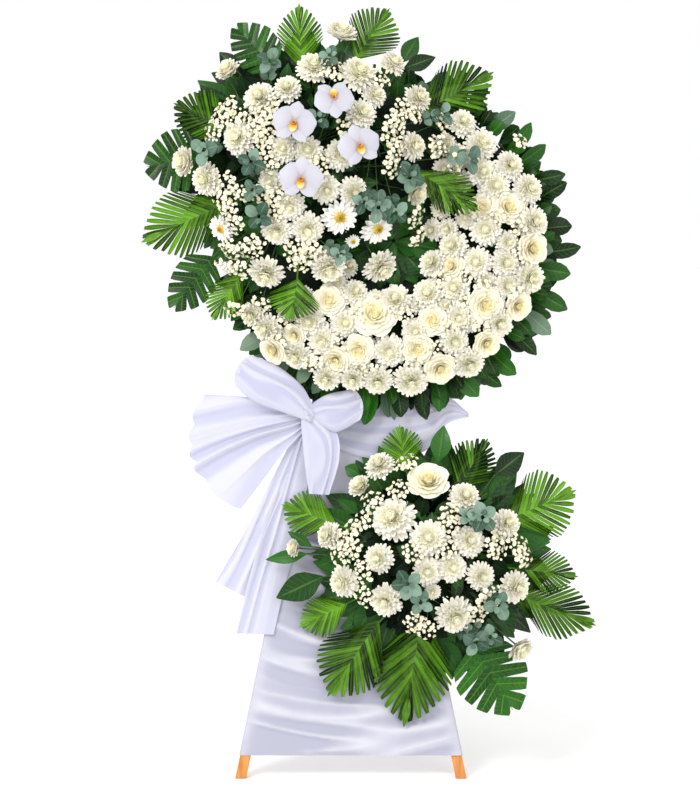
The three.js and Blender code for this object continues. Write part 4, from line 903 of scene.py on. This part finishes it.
# Plants of the two sprays
def spray_bunch(node, place, hub, stem, blooms, buds):
    """Blooms and buds that share one stem in their mound."""
    piece = Piece(node, place)
    degrees, distance = stem
    knuckle = vec(hub["x"], hub["y"], hub["front"] + 12) + heading(degrees) * distance
    tube(piece, [knuckle - OUT * 40, knuckle], (3.0, 2.8), "stem")
    for right, up, across, *kind in blooms:
        bloom(piece, on_dome(hub, right, up), knuckle, across, *kind)
    for right, up in buds:
        bud_cluster(piece, on_dome(hub, right, up, piece.draw(2, 10)), knuckle)
    piece.finish()


def leaf_collar(node, place, hub, count, long_leaves, fill, spread):
    """Leaves round a mound, longer-stalked ones past the blooms, and dark foliage under the blooms, much of it
    near-black leaves that are painted shade in the gaps between the blooms.
    """
    piece = Piece(node, place)
    level = hub["shoulder"] + 3
    centre = vec(hub["x"], hub["y"], 0)
    for layer, (amount, reach, drop) in enumerate(((count, 64, 0), (count + 3, 54, 8))):
        for k in range(amount):
            degrees = (k + layer * 0.5) * 360 / amount + piece.draw(-4, 4)
            root = centre + heading(degrees) * (hub["radius"] + 4) + OUT * (level + drop)
            tip = centre + heading(degrees + piece.draw(-8, 8)) * (hub["radius"] + 9 + reach) + OUT * (level + drop - 2)
            leaf(piece, root, tip, 48, "dark_leaf", unit(OUT + heading(degrees + 90) * piece.draw(-0.4, 0.4)))
    for base, tip, width in long_leaves:
        away = unit(vec(*base, 0) - centre)
        root = centre + away * (hub["radius"] + 5) + OUT * level
        start = vec(*base, level - 4)
        tube(piece, [root, start], (2.0, 1.6), "stem", 4)
        leaf(piece, start, vec(*tip, level - 10), width, "dark_leaf", OUT, 12)
    # backing leaves: every third one near-black, as painted shade
    for k in range(180):
        degrees = k * 137.5
        start = piece.draw(0.9, 1.3) if k % 3 == 0 else piece.draw(1.6, 2.1)
        root = centre + heading(degrees) * start * hub["radius"] + OUT * (hub["back"] + piece.draw(-3, 3))
        tip = root + heading(degrees + piece.draw(-30, 30)) * piece.draw(78, 102) + OUT * piece.draw(-3, 3)
        leaf(piece, root, tip, piece.draw(42, 54), "painted_shade_leaf" if k % 3 == 0 else "dark_leaf", OUT, 6, 0.12)
    # fill leaves under the blooms: two in three near-black, as painted shade
    for k in range(fill):
        distance = hub["reach"] * spread * math.sqrt((k + 0.5) / fill)
        spot = centre + heading(k * 137.5) * distance
        at, facing = on_dome(hub, spot[0], spot[1], piece.draw(-50, -22))
        aim = heading(k * 137.5 + piece.draw(-80, 80))
        tip = at + aim * piece.draw(42, 58) + facing * piece.draw(-6, 6)
        leaf(piece, at, tip, piece.draw(24, 36), piece.random.choice(("painted_shade_leaf", "painted_shade_leaf", "dark_leaf")), facing)
    piece.finish()


for bunch, (bunch_stem, bunch_blooms, bunch_buds) in UPPER_BUNCHES.items():
    spray_bunch(bunch, RING_FRAME, UPPER, bunch_stem, bunch_blooms, bunch_buds)
for bunch, (bunch_stem, bunch_blooms, bunch_buds) in LOWER_BUNCHES.items():
    spray_bunch(bunch, LOWER_FRAME, LOWER, bunch_stem, bunch_blooms, bunch_buds)
leaf_collar("upper_leaf_collar", RING_FRAME, UPPER, 12, UPPER_LONG_LEAVES, 190, 0.62)
leaf_collar("lower_leaf_collar", LOWER_FRAME, LOWER, 11, LOWER_LONG_LEAVES, 130, 0.54)

for hub_frame, hub_size, palms, splits, sprigs in (
    (RING_FRAME, UPPER, UPPER_PALMS, UPPER_SPLIT_LEAVES, UPPER_EUCALYPTUS),
    (LOWER_FRAME, LOWER, LOWER_PALMS, LOWER_SPLIT_LEAVES, LOWER_EUCALYPTUS),
):
    for plant, shape in palms.items():
        green = Piece(plant, hub_frame)
        palm_frond(green, hub_size, *shape)
        green.finish()
    for plant, shape in splits.items():
        green = Piece(plant, hub_frame)
        split_leaf(green, hub_size, *shape)
        green.finish()
    for plant, shape in sprigs.items():
        green = Piece(plant, hub_frame)
        eucalyptus(green, hub_size, *shape)
        green.finish()


def orchid_spray():
    """Moth orchids on one arching stem: three sepals, two broad petals and a lip."""
    piece = Piece("orchid_spray", RING_FRAME)
    out = heading(290)
    knuckle = vec(UPPER["x"], UPPER["y"], UPPER["front"] + 12) + out * 16
    crown, _ = on_dome(UPPER, knuckle[0], knuckle[1], -24)
    tube(piece, [knuckle - OUT * 40, knuckle, crown], (3.0, 2.8, 2.4), "stem")
    tepals = ((90, 0.5, 0.36, TEPAL, 0), (228, 0.48, 0.34, TEPAL, 0), (312, 0.48, 0.34, TEPAL, 0),
              (12, 0.5, 0.52, BROAD, 3), (168, 0.5, 0.52, BROAD, 3))
    for x, y, across, spin in ORCHIDS:
        at, facing = on_dome(UPPER, x, y, 54)
        flat = unit(OUT * 1.4 + facing)
        turn = basis(flat, -spin)
        tube(piece, arc(crown, at - flat * 2, OUT * -26), (2.2, 2.0, 1.8, 1.6, 1.6), "stem")
        for degrees, length, width, outline, front in tepals:
            grid = blade(across * length, across * width, outline, 20, -46, -0.26, 0.0, 7, piece.draw(-0.08, 0.08))
            grid = turned(grid + vec(0, 0, front), degrees - 90)
            piece.lattice(grid @ turn.T + at, "orchid")
        for degrees, length, width, rise, bend in (
            (270, 0.2, 0.17, 40, -60), (222, 0.15, 0.13, 66, 20), (318, 0.15, 0.13, 66, 20), (90, 0.08, 0.1, 70, -30),
        ):
            grid = blade(across * length, across * width, ROUND, rise, bend, 0.5, 0.0, 5)
            piece.lattice(turned(grid + vec(0, 1, 4), degrees - 90) @ turn.T + at, "lip")
    piece.finish()


orchid_spray()


# Cloth and ribbon
FOOT_HALF_SPREAD = 222
LEG_LEAN = 0.2055
LEG_SECTION = 22
CLOTH_BOTTOM = 46
CLOTH_TOP = 762


def stand_cloth():
    """Cloth wrapped over both front legs and tucked in behind them, with slack folds that sag across it."""
    piece = Piece("stand_cloth", FRONT_FRAME)
    rows, columns = 190, 120
    half_section = LEG_SECTION + 3
    tuck = 16
    grid = []
    fold_shades = []
    for up in np.linspace(CLOTH_BOTTOM, CLOTH_TOP, rows):
        side = FOOT_HALF_SPREAD - LEG_LEAN * up + LEG_SECTION / 2 + 1.6
        girth = 2 * (side + half_section + tuck)
        row = []
        fold_shade_row = []
        for place in np.linspace(-girth / 2, girth / 2, columns):
            hand = math.copysign(1, place)
            reach = abs(place)
            sag = 30 * (1 - (min(reach, side) / side) ** 2)
            broad = noise.noise(Vector((place * 0.0026, (up + sag) * 0.017, 3.1)))
            crease = noise.noise(Vector((place * 0.0042, (up + 1.3 * sag) * 0.036, 7.7)))
            tight = smooth_share(math.hypot(place - 162, up - 442), 130, 230) * smooth_share(up, 610, 540)
            tight *= smooth_share(side - reach, -4, 36)
            swell = max(3.5 + 10 * broad + 7 * (0.45 - 2.2 * abs(crease)), 0) * tight
            # painted shade: fold height, low in the hollows, which the cloth's colour darkens
            fold_shade_row.append(min(0.45 * (1 - tight) + swell / 11, 1))
            if reach <= side - 3:
                row.append((place, up, 1.5 + swell))
            elif reach <= side + half_section:
                depth_back = min(max(reach - side + 3, 0) , half_section)
                row.append((hand * (side + 0.4 * swell), up, 1.5 - depth_back))
            else:
                row.append((hand * (side - (reach - side - half_section)), up, 1.5 - half_section))
        grid.append(row)
        fold_shades.append(fold_shade_row)
    piece.lattice(np.array(grid), "stand_cloth", 0.5, np.array(fold_shades))
    obj = piece.finish()


stand_cloth()


def through(points, count):
    """Points along a smooth curve through a few given ones."""
    points = np.array(points, float)
    ends = np.concatenate((2 * points[:1] - points[1:2], points, 2 * points[-1:] - points[-2:-1]))
    out = []
    for place in np.linspace(0, len(points) - 1 - 1e-9, count):
        k = int(place)
        t = place - k
        a, b, c, d = ends[k:k + 4]
        out.append(0.5 * (2 * b + (c - a) * t + (2 * a - 5 * b + 4 * c - d) * t * t + (3 * b - a - 3 * c + d) * t ** 3))
    return np.array(out)


def ribbon(piece, left, right, pleats, depth, phase, rows=40, columns=48, bulge=0.0, swell=0.0, scallop=0.0):
    """A sheet between two edges that run away from the knot, with creases that open out along it.

    It can stand off in the middle by bulge, and swell past the line between its far corners, in scallops.
    """
    left, right = through(left, rows), through(right, rows)
    across = np.linspace(0, 1, columns)
    grid = np.zeros((rows, columns, 3))
    fold_shades = np.zeros((rows, columns))
    for r in range(rows):
        share = r / (rows - 1)
        drift = np.array([noise.noise(Vector((share * 1.6, c * 2.4, phase))) for c in across])
        place = across * pleats + 0.9 * drift + phase
        wave = 0.55 * np.sin(place * 2 * math.pi) + 0.6 * (1 - 2 * np.abs(np.sin(place * 0.73 * math.pi)))
        grow = depth * (0.35 + 0.65 * min(share * 2.2, 1))
        grid[r] = left[r] + (right[r] - left[r]) * across[:, None]
        away = unit(np.cross(right[r] - left[r], OUT))
        edge = swell * np.sin(math.pi * across) ** 0.8 + scallop * np.abs(np.sin(place * math.pi))
        grid[r] += away * (share ** 2 * edge)[:, None]
        crown = bulge * math.sin(math.pi * min(share * 1.02, 1)) * np.sin(across * math.pi) ** 0.6
        grid[r, :, 2] += grow * wave * np.sin(across * math.pi) ** 0.35 + crown
        # painted shade: pleat hollows are marked darker in the cloth's colour
        fold_shades[r] = np.clip(0.5 + 0.6 * wave, 0, 1)
    piece.lattice(grid, "bow_cloth", 0.5, fold_shades)


def sash():
    piece = Piece("sash", FRONT_FRAME)
    upper_edge = ((-98, 750, 30.8), (-44, 764, 6), (60, 770, 5), (150, 766, 5), (196, 768, 5), (236, 736, 5))
    lower_edge = ((-92, 704, 30.8), (-44, 668, 6), (60, 640, 5), (150, 660, 5), (192, 712, 5), (238, 728, 5))
    ribbon(piece, upper_edge, lower_edge, 5, 1.3, 0.7, 60, 60)
    piece.finish()


def bow_loops():
    """The knot, its two loops and the short tail that hangs in front."""
    piece = Piece("bow_loops", FRONT_FRAME)
    upper = ((-72, 742, 62), (-98, 790, 66), (-150, 832, 68), (-200, 852, 64))
    lower = ((-92, 722, 62), (-150, 742, 66), (-196, 760, 68), (-232, 790, 64))
    right_upper = ((-92, 744, 60), (-50, 772, 64), (6, 784, 60))
    right_lower = ((-72, 720, 60), (-30, 698, 64), (18, 722, 60))
    for edge, other, swell in ((upper, lower, 13), (right_upper, right_lower, -12)):
        ribbon(piece, edge, other, 2.5, 2.6, 0.3, bulge=13, swell=swell)
        ribbon(piece, edge, other, 2.5, 1.8, 1.9, bulge=-11, swell=swell)
    ribbon(
        piece,
        ((-100, 730, 60), (-98, 690, 60), (-92, 630, 58), (-84, 574, 56)),
        ((-66, 726, 60), (-28, 694, 60), (-24, 640, 58), (-44, 572, 56)),
        2.5, 3.2, 2.4,
    )
    turn = np.linspace(0, 2 * math.pi, 40, endpoint=False)
    rings = []
    for share in np.linspace(0, 1, 18):
        radius = (0.4 + 12 * math.sin(math.pi * share) ** 0.6) * (1 + 0.12 * np.sin(turn * 5 + share * 3))
        out = between(48, 73, share) + 2 * np.sin(turn * 3)
        rings.append(np.stack((-84 + radius * np.cos(turn), 732 + 1.1 * radius * np.sin(turn), out), -1))
    piece.lattice(np.array(rings), "bow_cloth", 0.5, 0.7, wrap=True)
    piece.finish()


def bow_fan():
    piece = Piece("bow_fan", FRONT_FRAME)
    ribbon(
        piece,
        ((-94, 744, 41.8), (-180, 766, 40), (-290, 774, 38)),
        ((-78, 716, 41.8), (-146, 642, 38), (-214, 546, 36)),
        5.2, 8.0, 1.1, 56, 150, 0, 62, 10,
    )
    piece.finish()


def bow_tails():
    """Two tails side by side, the outer one shorter."""
    piece = Piece("bow_tails", FRONT_FRAME)
    ribbon(
        piece,
        ((-98, 726, 35.5), (-150, 620, 21), (-212, 500, 11), (-272, 396, 8)),
        ((-80, 720, 35.5), (-110, 620, 21), (-160, 500, 11), (-206, 362, 8)),
        1.6, 2.4, 0.2, 70, 50,
    )
    ribbon(
        piece,
        ((-92, 724, 37), (-132, 620, 24), (-176, 500, 13), (-206, 400, 11), (-230, 292, 11)),
        ((-72, 720, 37), (-84, 620, 24), (-100, 500, 13), (-130, 400, 11), (-156, 290, 11)),
        2.3, 2.6, 0.7, 90, 60,
    )
    piece.finish()


sash()
bow_loops()
bow_fan()
bow_tails()

# Solids that stay, with finer surfaces
for node, look_name in (
    ("front_leg_left", "wood"), ("front_leg_right", "wood"), ("rear_leg", "wood"), ("lower_rail", "wood"),
    ("apex_block", "wood"), ("ring_base", "moulded"), ("lower_tray", "moulded"), ("ring_foam", "foam"),
    ("upper_foam", "foam"), ("lower_foam", "foam"),
):
    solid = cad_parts[node]
    solid.data.materials.clear()
    solid.data.materials.append(LOOKS[look_name])


# Stage, light and camera
def stage():
    """A pale floor, a white backdrop behind the wreath, dimmer light from all round, and two soft lamps."""
    scene = bpy.context.scene
    scene.world = bpy.data.worlds.new("studio")
    scene.world.use_nodes = True
    tree = scene.world.node_tree
    toward = tree.nodes.new("ShaderNodeSeparateXYZ")
    tree.links.new(tree.nodes.new("ShaderNodeTexCoord").outputs["Generated"], toward.inputs[0])
    levels = []
    for axis, low, high, dim, bright in (("Y", 0.93, 0.95, 0.0, 1.0), ("Z", -0.5, 0.9, 0.42, 1.22)):
        level = tree.nodes.new("ShaderNodeMapRange")
        tree.links.new(toward.outputs[axis], level.inputs["Value"])
        for key, number in (("From Min", low), ("From Max", high), ("To Min", dim), ("To Max", bright)):
            level.inputs[key].default_value = number
        levels.append(level.outputs["Result"])
    strongest = tree.nodes.new("ShaderNodeMath")
    strongest.operation = "MAXIMUM"
    tree.links.new(levels[0], strongest.inputs[0])
    tree.links.new(levels[1], strongest.inputs[1])
    background = tree.nodes["Background"]
    background.inputs["Color"].default_value = (1, 1, 1, 1)
    tree.links.new(strongest.outputs[0], background.inputs["Strength"])
    for name, place, power, size in (
        ("key", (-1.8, -3.6, 3.2), 100, 1.4), ("fill", (1.6, -4.2, 1.8), 44, 2.4),
    ):
        lamp = bpy.data.lights.new(name, "AREA")
        lamp.energy = power
        lamp.size = size
        obj = bpy.data.objects.new(name, lamp)
        obj.location = place
        obj.rotation_euler = (Vector((0, 0, 0.9)) - Vector(place)).to_track_quat("-Z", "Y").to_euler()
        scene.collection.objects.link(obj)
    scene.view_settings.view_transform = "Standard"
    bpy.ops.mesh.primitive_circle_add(vertices=96, radius=9, fill_type="NGON", location=(0, 0, -0.001))
    floor = bpy.context.object
    floor.data.materials.append(LOOKS["floor"])


def camera():
    """Camera at standing height that looks square on to the leaning front, as the photograph does."""
    frame_height = 1.576
    distance = 9.0
    middle = Vector((-2, 774, 65))
    sensor = 36
    lens = bpy.data.cameras.new("photo_view")
    lens.sensor_width = sensor
    lens.lens = sensor * distance / frame_height
    view = bpy.data.objects.new("photo_view", lens)
    view.location = FRONT_FRAME @ (middle + Vector((0, 0, distance / MM)))
    view.rotation_euler = (math.pi / 2 - TILT, 0, 0)
    bpy.context.scene.collection.objects.link(view)
    bpy.context.scene.camera = view


stage()
camera()
